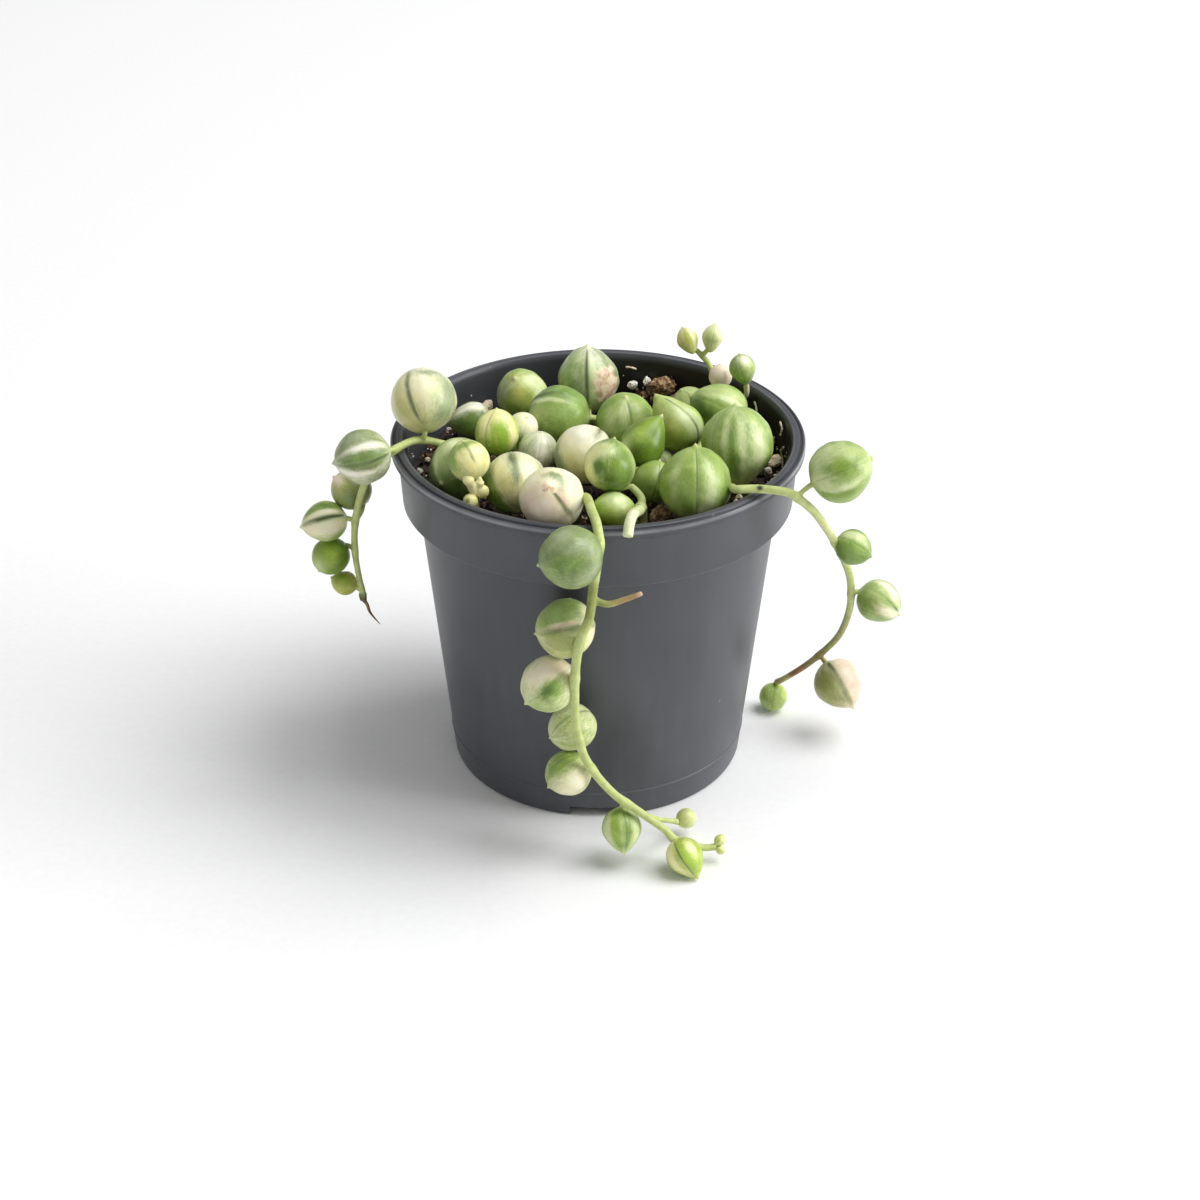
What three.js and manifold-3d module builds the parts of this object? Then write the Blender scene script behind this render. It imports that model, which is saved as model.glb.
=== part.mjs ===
// Potted string of pearls: a small variegated trailing succulent in a round nursery pot.
// Millimetres, +Z up. The origin is the centre of the pot's base, on the surface it stands on.
// The front of the plant faces -Y. Three vines hang over the rim: left (-X), front (-Y), right (+X).
import * as THREE from "three";
import { mergeVertices } from "three/addons/utils/BufferGeometryUtils.js";
import Module from "manifold-3d";

const wasm = await Module();
wasm.setup();

// ---------------------------------------------------------------- driving dimensions

const RIM_RADIUS = 30;
const POT_HEIGHT = 52.3;
const BASE_RADIUS = 21.9;
const WALL_THICKNESS = 0.9;
const FLOOR_THICKNESS = 1;
const LIP_HEIGHT = 1.5;
const LIP_INNER_RADIUS = 27.9;
const BAND_HEIGHT = 8.1;
const BAND_TOP_RADIUS = 29;
const BAND_FOOT_RADIUS = 28.5;
const WALL_TOP_RADIUS = 26.3;
const DRAIN_COUNT = 4;
const DRAIN_WIDTH = 8;
const DRAIN_HEIGHT = 1.7;
const DRAIN_DEPTH = 4;

const SOIL_LEVEL = 45.4;
const CRUMB_HEIGHT = 0.45;
const HEAP = { x: 9, y: 25, height: 2.1, width: 5 };
const GAP = 0.3;
const HOLE_CLEARANCE = 0.5;

const VINE_DIAMETER = 1.4;
const RUNNER_DIAMETER = 1.4;
const SHOOT_DIAMETER = 1.2;
const BARE_SHOOT_DIAMETER = 1.6;
const STALK_DIAMETER = 0.9;

const POT_SIDES = 72;
const SOIL_SIDES = 56;
const SOIL_RINGS = 13;
const PEARL_SIDES = 12;
const BUD_SIDES = 8;
const STEM_SIDES = 6;
const STALK_SIDES = 5;

const LIP_FOOT_Z = POT_HEIGHT - LIP_HEIGHT;
const BAND_FOOT_Z = LIP_FOOT_Z - BAND_HEIGHT;

// ---------------------------------------------------------------- materials

const material = (color, roughness) => new THREE.MeshStandardMaterial({ color, roughness, metalness: 0 });

const MATERIALS = {
  pot: material(0x55575b, 0.5),
  soil: material(0x2b211b, 0.95),
  leaf: material(0x8fae5c, 0.45),
  perlite: material(0xe9e4da, 0.85),
  bark: material(0xa5825f, 0.9),
  stone: material(0xcfae86, 0.7),
};

// ---------------------------------------------------------------- solids

// A closed solid from a geometry, with its shared corners merged and collapsed faces dropped.
function solid(geometry) {
  const bare = geometry.index ? geometry.toNonIndexed() : geometry.clone();
  bare.deleteAttribute("normal");
  bare.deleteAttribute("uv");
  const merged = mergeVertices(bare, 1e-3);
  const faces = [];
  for (let i = 0; i < merged.index.count; i += 3) {
    const [a, b, c] = [0, 1, 2].map((k) => merged.index.getX(i + k));
    if (a !== b && b !== c && a !== c) {
      faces.push(a, b, c);
    }
  }
  return new wasm.Manifold(
    new wasm.Mesh({
      numProp: 3,
      vertProperties: new Float32Array(merged.attributes.position.array),
      triVerts: new Uint32Array(faces),
    }),
  );
}

function surface(body) {
  const { vertProperties, triVerts } = body.getMesh();
  const geometry = new THREE.BufferGeometry();
  geometry.setAttribute("position", new THREE.BufferAttribute(new Float32Array(vertProperties), 3));
  geometry.setIndex(new THREE.BufferAttribute(new Uint32Array(triVerts), 1));
  return geometry;
}

// What grew together becomes one body: hollows sealed inside are filled and loose scraps dropped.
function grownTogether(bodies) {
  const skins = solid(surface(wasm.Manifold.union(bodies))).decompose();
  return skins.reduce((widest, skin) => (skin.volume() > widest.volume() ? skin : widest));
}

function part(name, body, finish) {
  const geometry = surface(body);
  geometry.computeVertexNormals();
  const mesh = new THREE.Mesh(geometry, finish);
  mesh.name = name;
  return mesh;
}

// A profile of [radius, height] pairs, from the bottom up along the outside, turned about +Z.
function turned(profile, sides) {
  const points = profile.map(([radius, height]) => new THREE.Vector2(radius, height));
  return new THREE.LatheGeometry(points, sides).rotateX(Math.PI / 2);
}

function disc(radius, sides) {
  const shape = new THREE.Shape();
  for (let i = 0; i < sides; i += 1) {
    const angle = (2 * Math.PI * i) / sides;
    const [x, y] = [radius * Math.cos(angle), radius * Math.sin(angle)];
    if (i === 0) {
      shape.moveTo(x, y);
    } else {
      shape.lineTo(x, y);
    }
  }
  shape.closePath();
  return shape;
}

function tube(curve, diameter, sides, spacing) {
  const steps = Math.max(2, Math.round(curve.getLength() / spacing));
  const options = { steps, bevelEnabled: false, extrudePath: curve };
  return solid(new THREE.ExtrudeGeometry(disc(diameter / 2, sides), options));
}

const smooth = (route) => new THREE.CatmullRomCurve3(route.map((p) => new THREE.Vector3(...p)));

// A straight tapered stretch, as a dried stem end has.
function taper(from, to, startDiameter, endDiameter) {
  const [start, end] = [new THREE.Vector3(...from), new THREE.Vector3(...to)];
  const along = end.clone().sub(start);
  const cone = new THREE.CylinderGeometry(endDiameter / 2, startDiameter / 2, along.length(), STALK_SIDES);
  const turn = new THREE.Quaternion().setFromUnitVectors(new THREE.Vector3(0, 1, 0), along.normalize());
  cone.applyQuaternion(turn);
  cone.translate(...start.add(end).multiplyScalar(0.5).toArray());
  return solid(cone);
}

// ---------------------------------------------------------------- pot

// A thin moulded wall, a band under the lip and a plain floor, as one closed outline.
function potProfile() {
  const inner = (radius) => radius - WALL_THICKNESS;
  return [
    [0, 0],
    [BASE_RADIUS - 0.6, 0],
    [BASE_RADIUS, 0.6],
    [WALL_TOP_RADIUS, BAND_FOOT_Z],
    [BAND_FOOT_RADIUS - 0.2, BAND_FOOT_Z],
    [BAND_FOOT_RADIUS, BAND_FOOT_Z + 0.2],
    [BAND_TOP_RADIUS, LIP_FOOT_Z],
    [RIM_RADIUS - 0.2, LIP_FOOT_Z],
    [RIM_RADIUS, LIP_FOOT_Z + 0.2],
    [RIM_RADIUS, POT_HEIGHT - 0.4],
    [RIM_RADIUS - 0.4, POT_HEIGHT],
    [LIP_INNER_RADIUS + 0.3, POT_HEIGHT],
    [LIP_INNER_RADIUS, POT_HEIGHT - 0.3],
    [inner(BAND_FOOT_RADIUS), BAND_FOOT_Z + 1],
    [inner(WALL_TOP_RADIUS), BAND_FOOT_Z - 0.5],
    [inner(BASE_RADIUS), FLOOR_THICKNESS],
    [0, FLOOR_THICKNESS],
  ];
}

// Drain slots stand at the foot of the wall, cut through wall and floor edge.
function makePot() {
  let pot = solid(turned(potProfile(), POT_SIDES));
  for (let i = 0; i < DRAIN_COUNT; i += 1) {
    const slot = new THREE.BoxGeometry(2 * DRAIN_DEPTH, DRAIN_WIDTH, 2 * DRAIN_HEIGHT);
    slot.translate(BASE_RADIUS, 0, 0);
    slot.rotateZ((2 * Math.PI * i) / DRAIN_COUNT);
    pot = pot.subtract(solid(slot));
  }
  return part("pot", pot, MATERIALS.pot);
}

// ---------------------------------------------------------------- soil

// Crumbly top of the soil: three crossed waves a few millimetres long, and a heap at the back wall.
function soilHeight(x, y) {
  const coarse = Math.sin(1.9 * x + 0.6 * y) * Math.cos(0.4 * x - 2.1 * y);
  const fine = Math.sin(3.7 * x - 2.3 * y + 1) * Math.cos(2.9 * y + 1.7 * x);
  const crumbs = CRUMB_HEIGHT * (0.6 * coarse + 0.4 * fine);
  const away = ((x - HEAP.x) ** 2 + (y - HEAP.y) ** 2) / HEAP.width ** 2;
  return SOIL_LEVEL + crumbs + HEAP.height * Math.exp(-away);
}

// Below its surface the soil fills the pot, a gap inside the wall.
function soilRings() {
  const wallGap = WALL_THICKNESS + GAP;
  const topRadius = BAND_FOOT_RADIUS - wallGap;
  const rings = [];
  for (let i = 1; i <= SOIL_RINGS; i += 1) {
    rings.push({ radius: (topRadius * i) / SOIL_RINGS, height: null });
  }
  rings.push({ radius: topRadius, height: BAND_FOOT_Z + 1.5 });
  rings.push({ radius: WALL_TOP_RADIUS - wallGap, height: BAND_FOOT_Z - 0.3 });
  rings.push({ radius: BASE_RADIUS - wallGap, height: FLOOR_THICKNESS + GAP });
  return rings;
}

function soilGeometry() {
  const rings = soilRings();
  const corners = [0, 0, soilHeight(0, 0)];
  rings.forEach(({ radius, height }) => {
    for (let i = 0; i < SOIL_SIDES; i += 1) {
      const angle = (2 * Math.PI * i) / SOIL_SIDES;
      const [x, y] = [radius * Math.cos(angle), radius * Math.sin(angle)];
      corners.push(x, y, height ?? soilHeight(x, y));
    }
  });
  corners.push(0, 0, FLOOR_THICKNESS + GAP);
  const bottom = corners.length / 3 - 1;
  const at = (ring, i) => 1 + ring * SOIL_SIDES + (i % SOIL_SIDES);
  const faces = [];
  for (let i = 0; i < SOIL_SIDES; i += 1) {
    faces.push(0, at(0, i), at(0, i + 1));
    for (let ring = 0; ring < rings.length - 1; ring += 1) {
      faces.push(at(ring, i), at(ring + 1, i), at(ring + 1, i + 1));
      faces.push(at(ring, i), at(ring + 1, i + 1), at(ring, i + 1));
    }
    faces.push(bottom, at(rings.length - 1, i + 1), at(rings.length - 1, i));
  }
  const geometry = new THREE.BufferGeometry();
  geometry.setAttribute("position", new THREE.Float32BufferAttribute(corners, 3));
  geometry.setIndex(faces);
  return geometry;
}

// Each rooted stem stands in a plain hole.
function makeSoil(rootedStems) {
  let soil = solid(soilGeometry());
  rootedStems.forEach(({ route, diameter }) => {
    const [x, y, z] = route[0];
    const radius = diameter / 2 + HOLE_CLEARANCE;
    const depth = POT_HEIGHT - z;
    const hole = new THREE.CylinderGeometry(radius, radius, depth, 2 * STEM_SIDES);
    hole.rotateX(Math.PI / 2);
    hole.translate(x, y, z - GAP - 0.2 + depth / 2);
    soil = soil.subtract(solid(hole));
  });
  return part("soil", soil, MATERIALS.soil);
}

// ---------------------------------------------------------------- pearls and vines

const DEGREE = Math.PI / 180;

// Unit direction of a pearl's tip, by its turn about +Z from +X and its rise above the level.
function direction(turn, rise) {
  const level = Math.cos(rise * DEGREE);
  return new THREE.Vector3(
    level * Math.cos(turn * DEGREE),
    level * Math.sin(turn * DEGREE),
    Math.sin(rise * DEGREE),
  );
}

// Round leaf with a small point at the tip. drawn is how far the tip is drawn out, in radii.
function pearlSolid({ centre, diameter, tip, drawn }) {
  const radius = diameter / 2;
  const small = diameter < 5;
  const bands = small ? [0, 40, 75, 110, 145, 180] : [0, 28, 56, 84, 112, 140, 180];
  const profile = bands.map((polar) => {
    const angle = polar * DEGREE;
    const fromTip = (180 - polar) * DEGREE;
    const spread = Math.exp(-((fromTip / 0.75) ** 2));
    const height = -radius * Math.cos(angle) + radius * drawn * spread;
    return [polar === 0 || polar === 180 ? 0 : radius * Math.sin(angle), height];
  });
  const leaf = turned(profile, small ? BUD_SIDES : PEARL_SIDES);
  leaf.applyQuaternion(new THREE.Quaternion().setFromUnitVectors(new THREE.Vector3(0, 0, 1), tip));
  leaf.translate(...centre.toArray());
  return solid(leaf);
}

// Above the soil, or outside the pot.
const isInTheOpen = ({ x, y, z }) => z > SOIL_LEVEL + 1.2 || Math.hypot(x, y) > LIP_INNER_RADIUS;

// The stalk runs from the nearest open point of the spray's stems into the pearl's base.
function stalkSolid({ centre, diameter, tip }, curves) {
  const radius = diameter / 2;
  const base = centre.clone().addScaledVector(tip, -1.2 * radius);
  let start = null;
  curves.forEach((curve) => {
    curve.getPoints(60).filter(isInTheOpen).forEach((point) => {
      if (start === null || point.distanceTo(base) < start.distanceTo(base)) {
        start = point;
      }
    });
  });
  const inside = centre.clone().addScaledVector(tip, -0.6 * radius);
  const bend = base.clone().lerp(start, 0.3);
  if (Math.hypot(bend.x, bend.y) < LIP_INNER_RADIUS) {
    bend.z = Math.max(bend.z, SOIL_LEVEL + 1.6);
  }
  const width = Math.min(STALK_DIAMETER, 0.4 * diameter);
  return tube(new THREE.QuadraticBezierCurve3(start, bend, inside), width, STALK_SIDES, 2);
}

function readPearl([x, y, z, diameter, turn, rise, drawn]) {
  return { centre: new THREE.Vector3(x, y, z), diameter, tip: direction(turn, rise), drawn };
}

// One spray is its stems, the pearls on them and any dried ends, grown together as one body.
function makeSpray({ name, stems, pearls, ends = [] }) {
  const curves = stems.map(({ route }) => smooth(route));
  const bodies = stems.map(({ diameter }, i) => tube(curves[i], diameter, STEM_SIDES, 2 * diameter));
  pearls.map(readPearl).forEach((pearl) => {
    bodies.push(pearlSolid(pearl));
    bodies.push(stalkSolid(pearl, curves));
  });
  ends.forEach(({ from, to, start, end }) => bodies.push(taper(from, to, start, end)));
  return part(name, grownTogether(bodies), MATERIALS.leaf);
}

// ---------------------------------------------------------------- the sprays

// Stem routes start at the root, in the soil. A pearl is the x, y and z of its centre, its diameter,
// the turn and rise of its tip, and how far the tip is drawn out.

const leftVine = {
  name: "left_vine",
  stems: [
    {
      diameter: SHOOT_DIAMETER,
      rooted: true,
      route: [
        [-17, 1, 43.5],
        [-17, 1, 46.5],
        [-19, -1, 49.8],
        [-22.3, -4.1, 52.4],
        [-25.7, -4.9, 53.4],
        [-28.9, -8.2, 53.4],
        [-31.4, -8, 51.2],
        [-33.8, -5.5, 46],
        [-35.3, -4, 40],
        [-35.7, -3.5, 35],
        [-35.5, -3, 31],
        [-34.9, -3, 27],
      ],
    },
  ],
  pearls: [
    [-19.5, -9.5, 51, 9, -120, 0, 0.05],
    [-25, -1.5, 58, 9.4, 100, 50, 0.05],
    [-33, -10.5, 53.6, 7.7, -170, -10, 0.05],
    [-36.1, 0, 42.8, 5.9, 180, 40, 0.05],
    [-39.7, -3, 39.2, 6, -170, -10, 0.1],
    [-39.3, -3, 33.4, 5.6, -130, -30, 0.05],
    [-37.5, -2.5, 28.5, 3.7, 170, 20, 0.2],
  ],
  ends: [{ from: [-35, -3, 27.4], to: [-32.4, -3, 21.6], start: 1.2, end: 0.3 }],
};

const frontVine = {
  name: "front_vine",
  stems: [
    {
      diameter: VINE_DIAMETER,
      rooted: true,
      route: [
        [-3, -16.5, 43.5],
        [-3, -16.5, 46.5],
        [-2.5, -18.8, 50.5],
        [-1.6, -22, 53.2],
        [-0.8, -26.7, 53.6],
        [-0.1, -30.5, 53.5],
        [0.2, -32.2, 51.8],
        [-0.1, -32, 48.3],
        [-0.6, -32.5, 44.7],
        [-1.1, -34.4, 41.5],
        [-2.3, -35, 38.3],
        [-3, -34.2, 33],
        [-3.1, -34, 28.9],
        [-2.8, -33, 22.5],
        [-1.5, -33, 17.5],
        [2.2, -33, 12],
        [6.1, -33.5, 9],
        [9.7, -34, 6.3],
        [11.1, -34, 4.6],
        [13.5, -32.5, 3],
      ],
    },
    {
      diameter: STALK_DIAMETER,
      route: [
        [6.1, -33.5, 9],
        [8.5, -31.5, 6.5],
        [11.5, -28, 3.5],
      ],
    },
    {
      diameter: STALK_DIAMETER,
      route: [
        [12.5, -33, 3.6],
        [15.1, -33, 2.5],
        [17, -32.8, 2.5],
      ],
    },
  ],
  pearls: [
    [-6.3, -22, 53, 8.9, -100, 50, 0.05],
    [-3.4, -35, 51.1, 8.4, -170, -10, 0.05],
    [-4.3, -30.5, 37.5, 8.2, -160, 0, 0.05],
    [-6.7, -32, 29.5, 7.7, -150, -30, 0.05],
    [-3.5, -28.5, 20.1, 6.8, -150, -10, 0.05],
    [-4, -31, 14, 6.4, -160, -30, 0.05],
    [3.5, -33, 6, 5.6, -80, -50, 0.3],
    [13, -26.5, 3, 3, -20, 50, 0.05],
    [12.5, -35.5, 3, 5.2, -50, -40, 0.3],
    [17.6, -32.3, 3.3, 1.6, 40, 40, 0.2],
    [17.7, -33.2, 2.2, 1.3, -20, 0, 0.2],
  ],
  ends: [{ from: [-0.5, -33, 43.4], to: [6, -33, 44.5], start: 1.1, end: 0.6 }],
};

const rightVine = {
  name: "right_vine",
  stems: [
    {
      diameter: VINE_DIAMETER,
      rooted: true,
      route: [
        [17.5, -11, 43.5],
        [17.5, -11, 45.2],
        [17.5, -11, 46.8],
        [18, -13.5, 49.8],
        [18.5, -17, 52.2],
        [19.1, -19.6, 53.3],
        [21.4, -19.6, 53.4],
        [24.2, -20, 53.4],
        [26.4, -20.1, 53],
        [27.9, -19.4, 51.6],
        [30.2, -17, 48.4],
        [32.4, -14, 44.1],
        [34.1, -11, 40.1],
        [36.5, -8, 34],
        [37.5, -5, 28.4],
        [37.6, -2, 23],
        [36.7, 1, 17.5],
        [35, 3, 13.8],
        [32.4, 5, 9.8],
        [29.4, 6.5, 6.5],
        [28.2, 7.5, 5.1],
      ],
    },
  ],
  pearls: [
    [20, -3.5, 52.3, 10.3, 100, 70, 0.05],
    [13.5, -16, 52.1, 10.1, 90, 70, 0.05],
    [33.3, -18, 55.3, 8.6, 10, 20, 0.05],
    [36.5, -11.5, 39.8, 5.2, -20, -20, 0.1],
    [41.4, -6, 27.8, 6.3, -30, -20, 0.1],
    [37, 1, 9.3, 7.3, -50, -40, 0.15],
    [27.8, 7.5, 2.4, 4.4, -100, -40, 0.05],
  ],
};

const backVine = {
  name: "back_vine",
  stems: [
    {
      diameter: SHOOT_DIAMETER,
      rooted: true,
      route: [
        [17.6, 16.2, 43.5],
        [17.6, 16.2, 46.5],
        [17.9, 17.6, 49.5],
        [17.6, 19, 52.2],
        [16.7, 19.8, 54.2],
        [14.9, 20, 56.3],
      ],
    },
    {
      diameter: STALK_DIAMETER,
      route: [
        [17.9, 17.5, 49.3],
        [20.5, 16.2, 49.6],
        [22.2, 15, 51.2],
        [22.2, 14.6, 53],
      ],
    },
  ],
  pearls: [
    [13.4, 20, 58.1, 3.2, 130, 50, 0.15],
    [17.2, 20, 58.5, 3.2, 70, 60, 0.15],
    [21.5, 14.5, 56, 4, 140, 70, 0.05],
    [18.4, 17.5, 53.2, 3.6, 0, 90, 0.05],
    [14, 15.8, 49.1, 5.7, 180, 60, 0.05],
  ],
};

const westStem = {
  name: "west_stem",
  stems: [
    {
      diameter: RUNNER_DIAMETER,
      rooted: true,
      route: [
        [-9, 3, 43.5],
        [-9, 3, 46.6],
        [-10.5, -1, 47.6],
        [-11.5, -5, 47.6],
        [-12, -8.5, 48],
      ],
    },
    {
      diameter: RUNNER_DIAMETER,
      route: [
        [-9, 3, 46.8],
        [-12.5, 5, 47.6],
        [-16, 7.5, 47.8],
      ],
    },
  ],
  pearls: [
    [-18.6, 10, 49.3, 5.7, -170, 0, 0.3],
    [-14.5, -2.5, 53.5, 6.4, 90, 80, 0.05],
    [-11, 2, 52, 4.6, -50, 60, 0.05],
    [-8.6, -3, 50.8, 5.8, -10, 80, 0.05],
    [-11.5, -14.5, 51.5, 8.6, -80, 30, 0.05],
  ],
};

const northStem = {
  name: "north_stem",
  stems: [
    {
      diameter: RUNNER_DIAMETER,
      rooted: true,
      route: [
        [2.5, 13.5, 43.5],
        [2.5, 13.5, 46.6],
        [-1, 14, 47.6],
        [-5, 14, 47.6],
        [-8, 14, 47.8],
      ],
    },
  ],
  pearls: [
    [-5.6, 7, 51.5, 9.1, -160, 50, 0.05],
    [-11.5, 17.2, 50.1, 7.8, -120, 60, 0.05],
    [-1.5, 21, 51, 9.3, 100, 80, 0.1],
  ],
};

const centreStem = {
  name: "centre_stem",
  stems: [
    {
      diameter: RUNNER_DIAMETER,
      rooted: true,
      route: [
        [2, 2, 43.5],
        [2, 2, 46.6],
        [3, -1.5, 47.6],
        [4.2, -5, 47.6],
      ],
    },
  ],
  pearls: [
    [4, 6, 50.8, 9, -90, 80, 0.05],
    [6.3, -6, 53.4, 6.3, 30, 50, 0.45],
    [-2, -6.5, 52, 8.5, 40, 70, 0.05],
    [7.9, -9.5, 49.2, 6, 40, 70, 0.05],
    [9.5, -1, 48.2, 3.2, -140, 70, 0.05],
  ],
};

const southStem = {
  name: "south_stem",
  stems: [
    {
      diameter: BARE_SHOOT_DIAMETER,
      rooted: true,
      route: [
        [6.2, -16.5, 43.5],
        [6.2, -16.5, 45.2],
        [6.2, -16.5, 46.8],
        [6, -18, 49.4],
        [5.6, -22, 51.2],
        [5, -26, 53],
        [4.6, -28, 53.6],
        [4.2, -30.4, 53.5],
        [4, -31.6, 52.4],
      ],
    },
    {
      diameter: SHOOT_DIAMETER,
      route: [
        [6, -18, 49.4],
        [6.1, -16.8, 50.3],
        [5.5, -16, 50.9],
        [4.5, -15.5, 51.7],
      ],
    },
  ],
  pearls: [
    [1.6, -16, 55, 7.2, 60, 70, 0.05],
    [2, -19.5, 50, 5.2, -160, 10, 0.05],
  ],
};

const eastStem = {
  name: "east_stem",
  stems: [
    {
      diameter: RUNNER_DIAMETER,
      rooted: true,
      route: [
        [13.5, -1.5, 43.5],
        [13.5, -1.5, 46.6],
        [14.3, 2, 47.6],
        [15.5, 6, 47.7],
        [16.3, 9.5, 47.8],
      ],
    },
  ],
  pearls: [
    [11.7, 1.5, 52.5, 7.1, 150, 47, 0.45],
    [18.1, 9.5, 51.1, 8.4, 180, 30, 0.1],
  ],
};

const budShoot = {
  name: "bud_shoot",
  stems: [
    {
      diameter: SHOOT_DIAMETER,
      rooted: true,
      route: [
        [-16.8, -17.2, 43.5],
        [-16.8, -17.2, 46.5],
        [-17, -17.6, 50],
        [-16.7, -17.9, 52],
        [-16.2, -18, 53.6],
      ],
    },
  ],
  pearls: [
    [-17.8, -16, 55.8, 5.7, 125, 35, 0.05],
    [-17.8, -18.5, 54, 1.6, 150, 60, 0.3],
    [-16, -18, 52, 1.9, -30, 40, 0.1],
    [-17.6, -19, 51, 2.1, -110, -20, 0.1],
  ],
};

const SPRAYS = [
  leftVine,
  frontVine,
  rightVine,
  backVine,
  westStem,
  northStem,
  centreStem,
  southStem,
  eastStem,
  budShoot,
];

// ---------------------------------------------------------------- loose grit on the soil

// Each grain is its x and y, its width, its flatness and its turn about +Z.
const GRIT = [
  { name: "perlite", finish: "perlite", grains: [[5.3, 25.2, 1.6, 0.8, 20], [7.5, 25.4, 1.4, 0.9, 70]] },
  { name: "perlite_side", finish: "perlite", grains: [[24.8, -0.3, 1, 0.9, 10], [-26, -1, 1, 0.9, 0]] },
  { name: "bark", finish: "bark", grains: [[9.9, 23, 4, 0.6, 30], [9.1, -15.5, 3.6, 0.6, 80]] },
  { name: "pebble", finish: "stone", grains: [[25.8, 1.7, 2, 0.8, 40], [-17, 20.4, 2, 0.7, 60]] },
];

function highestNear(x, y, reach) {
  let top = -Infinity;
  for (let angle = 0; angle < 360; angle += 30) {
    for (const share of [0, 0.5, 1]) {
      const away = reach * share;
      top = Math.max(top, soilHeight(x + away * Math.cos(angle * DEGREE), y + away * Math.sin(angle * DEGREE)));
    }
  }
  return top;
}

function makeGrain(name, [x, y, width, flatness, turn], finish) {
  const grain = new THREE.IcosahedronGeometry(width / 2, 0);
  grain.scale(1, 0.8, flatness);
  grain.rotateZ(turn * DEGREE);
  grain.translate(x, y, highestNear(x, y, width / 2 + 1) + GAP + (width * flatness) / 2);
  return part(name, solid(grain), MATERIALS[finish]);
}

// ---------------------------------------------------------------- the whole plant

const plant = new THREE.Group();
plant.add(makePot());
plant.add(makeSoil(SPRAYS.flatMap(({ stems }) => stems.filter(({ rooted }) => rooted))));
SPRAYS.forEach((spray) => plant.add(makeSpray(spray)));
GRIT.forEach(({ name, finish, grains }) => {
  grains.forEach((grain, i) => plant.add(makeGrain(`${name}_${i + 1}`, grain, finish)));
});

export default plant;
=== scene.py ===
# %% [markdown]
# # A potted string of pearls
# A small variegated trailing succulent in a round nursery pot. The construction, with the real
# sizes, is loaded first and is never moved. This lesson then gives every part its looks: the
# moulded pot, the crumbly soil, the stems and each round leaf with its own stripes.

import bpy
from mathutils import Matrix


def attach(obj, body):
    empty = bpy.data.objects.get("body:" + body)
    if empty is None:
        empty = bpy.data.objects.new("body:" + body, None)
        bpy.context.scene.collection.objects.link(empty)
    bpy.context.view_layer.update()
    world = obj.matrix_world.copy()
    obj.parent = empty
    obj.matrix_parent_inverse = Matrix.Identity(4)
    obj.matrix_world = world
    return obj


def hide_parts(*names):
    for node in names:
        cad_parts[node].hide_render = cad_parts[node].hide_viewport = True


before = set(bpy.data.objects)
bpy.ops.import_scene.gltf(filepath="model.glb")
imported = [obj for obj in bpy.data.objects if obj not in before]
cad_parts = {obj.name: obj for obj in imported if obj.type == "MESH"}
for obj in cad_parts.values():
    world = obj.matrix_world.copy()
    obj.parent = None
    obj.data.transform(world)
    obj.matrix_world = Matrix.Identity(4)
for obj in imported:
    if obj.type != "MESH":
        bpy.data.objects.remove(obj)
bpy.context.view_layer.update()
print("nodes:", len(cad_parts))

# %% [markdown]
# ## Small helpers
# Sizes are written in millimetres, as on a drawing, and turned to metres once. Colours are
# written as the hex values that a screen shows, and turned to the linear values that light
# follows.

# %% Units and colours
import math
import random

import bpy
import numpy as np
from mathutils import Matrix, Vector

MM = 0.001


def linear(hex_colour):
    """An sRGB hex colour as linear red, green, blue and alpha."""
    values = [int(hex_colour[i : i + 2], 16) / 255 for i in (1, 3, 5)]
    return tuple(v / 12.92 if v <= 0.04045 else ((v + 0.055) / 1.055) ** 2.4 for v in values) + (1.0,)


print("middle grey is", round(linear("#808080")[0], 3), "in linear light")

# %% [markdown]
# Blender's operators work on whatever is selected. These functions pick an object first and then
# do one thing to it. The last one gives a finished piece its name and its material, hangs it on the
# root body, and hides the part of the construction that it stands for.

# %% Pick, apply, join and dress
def deselect():
    bpy.ops.object.select_all(action="DESELECT")


def pick(piece):
    """Makes one object the only one selected, and the active one."""
    deselect()
    piece.select_set(True)
    bpy.context.view_layer.objects.active = piece


def apply_modifiers(piece):
    pick(piece)
    for modifier in list(piece.modifiers):
        bpy.ops.object.modifier_apply(modifier=modifier.name)


def keep_place_in_mesh(piece):
    """Puts the object at the origin, unturned and unscaled, with its place in its mesh."""
    pick(piece)
    bpy.ops.object.transform_apply(location=True, rotation=True, scale=True)


def join(pieces):
    """Joins the pieces into one, which has its place in its mesh."""
    pick(pieces[0])
    for piece in pieces:
        piece.select_set(True)
    bpy.ops.object.join()
    keep_place_in_mesh(bpy.context.object)
    return bpy.context.object


def put_away(forms):
    """Removes the objects that were only copied from."""
    for form in forms:
        bpy.data.objects.remove(form)


def dress(piece, name, material, node):
    """Names and dresses a finished piece, and hides the part that it stands for."""
    piece.name = name
    piece.data.name = name
    piece.data.materials.clear()
    piece.data.materials.append(material)
    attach(piece, "root")
    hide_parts(node)


deselect()
print("helpers for objects ready")

# %% [markdown]
# ## Camera
# The photograph looks down at the pot by about 30 degrees, from a good third of a metre away,
# through a short telephoto lens. The lens is worked out from the picture's own width in pixels,
# so the render has the same framing.

# %% Make the camera
PHOTO_WIDTH_PX = 1200
FOCAL_LENGTH_PX = 2404.2
SENSOR_MM = 36
CAMERA_PLACE = Vector((0, -312.94, 205.84)) * MM
LOOK_DOWN = 0.5257
TURN_RIGHT = 0.0012
ROLL = 0.0038

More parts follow.
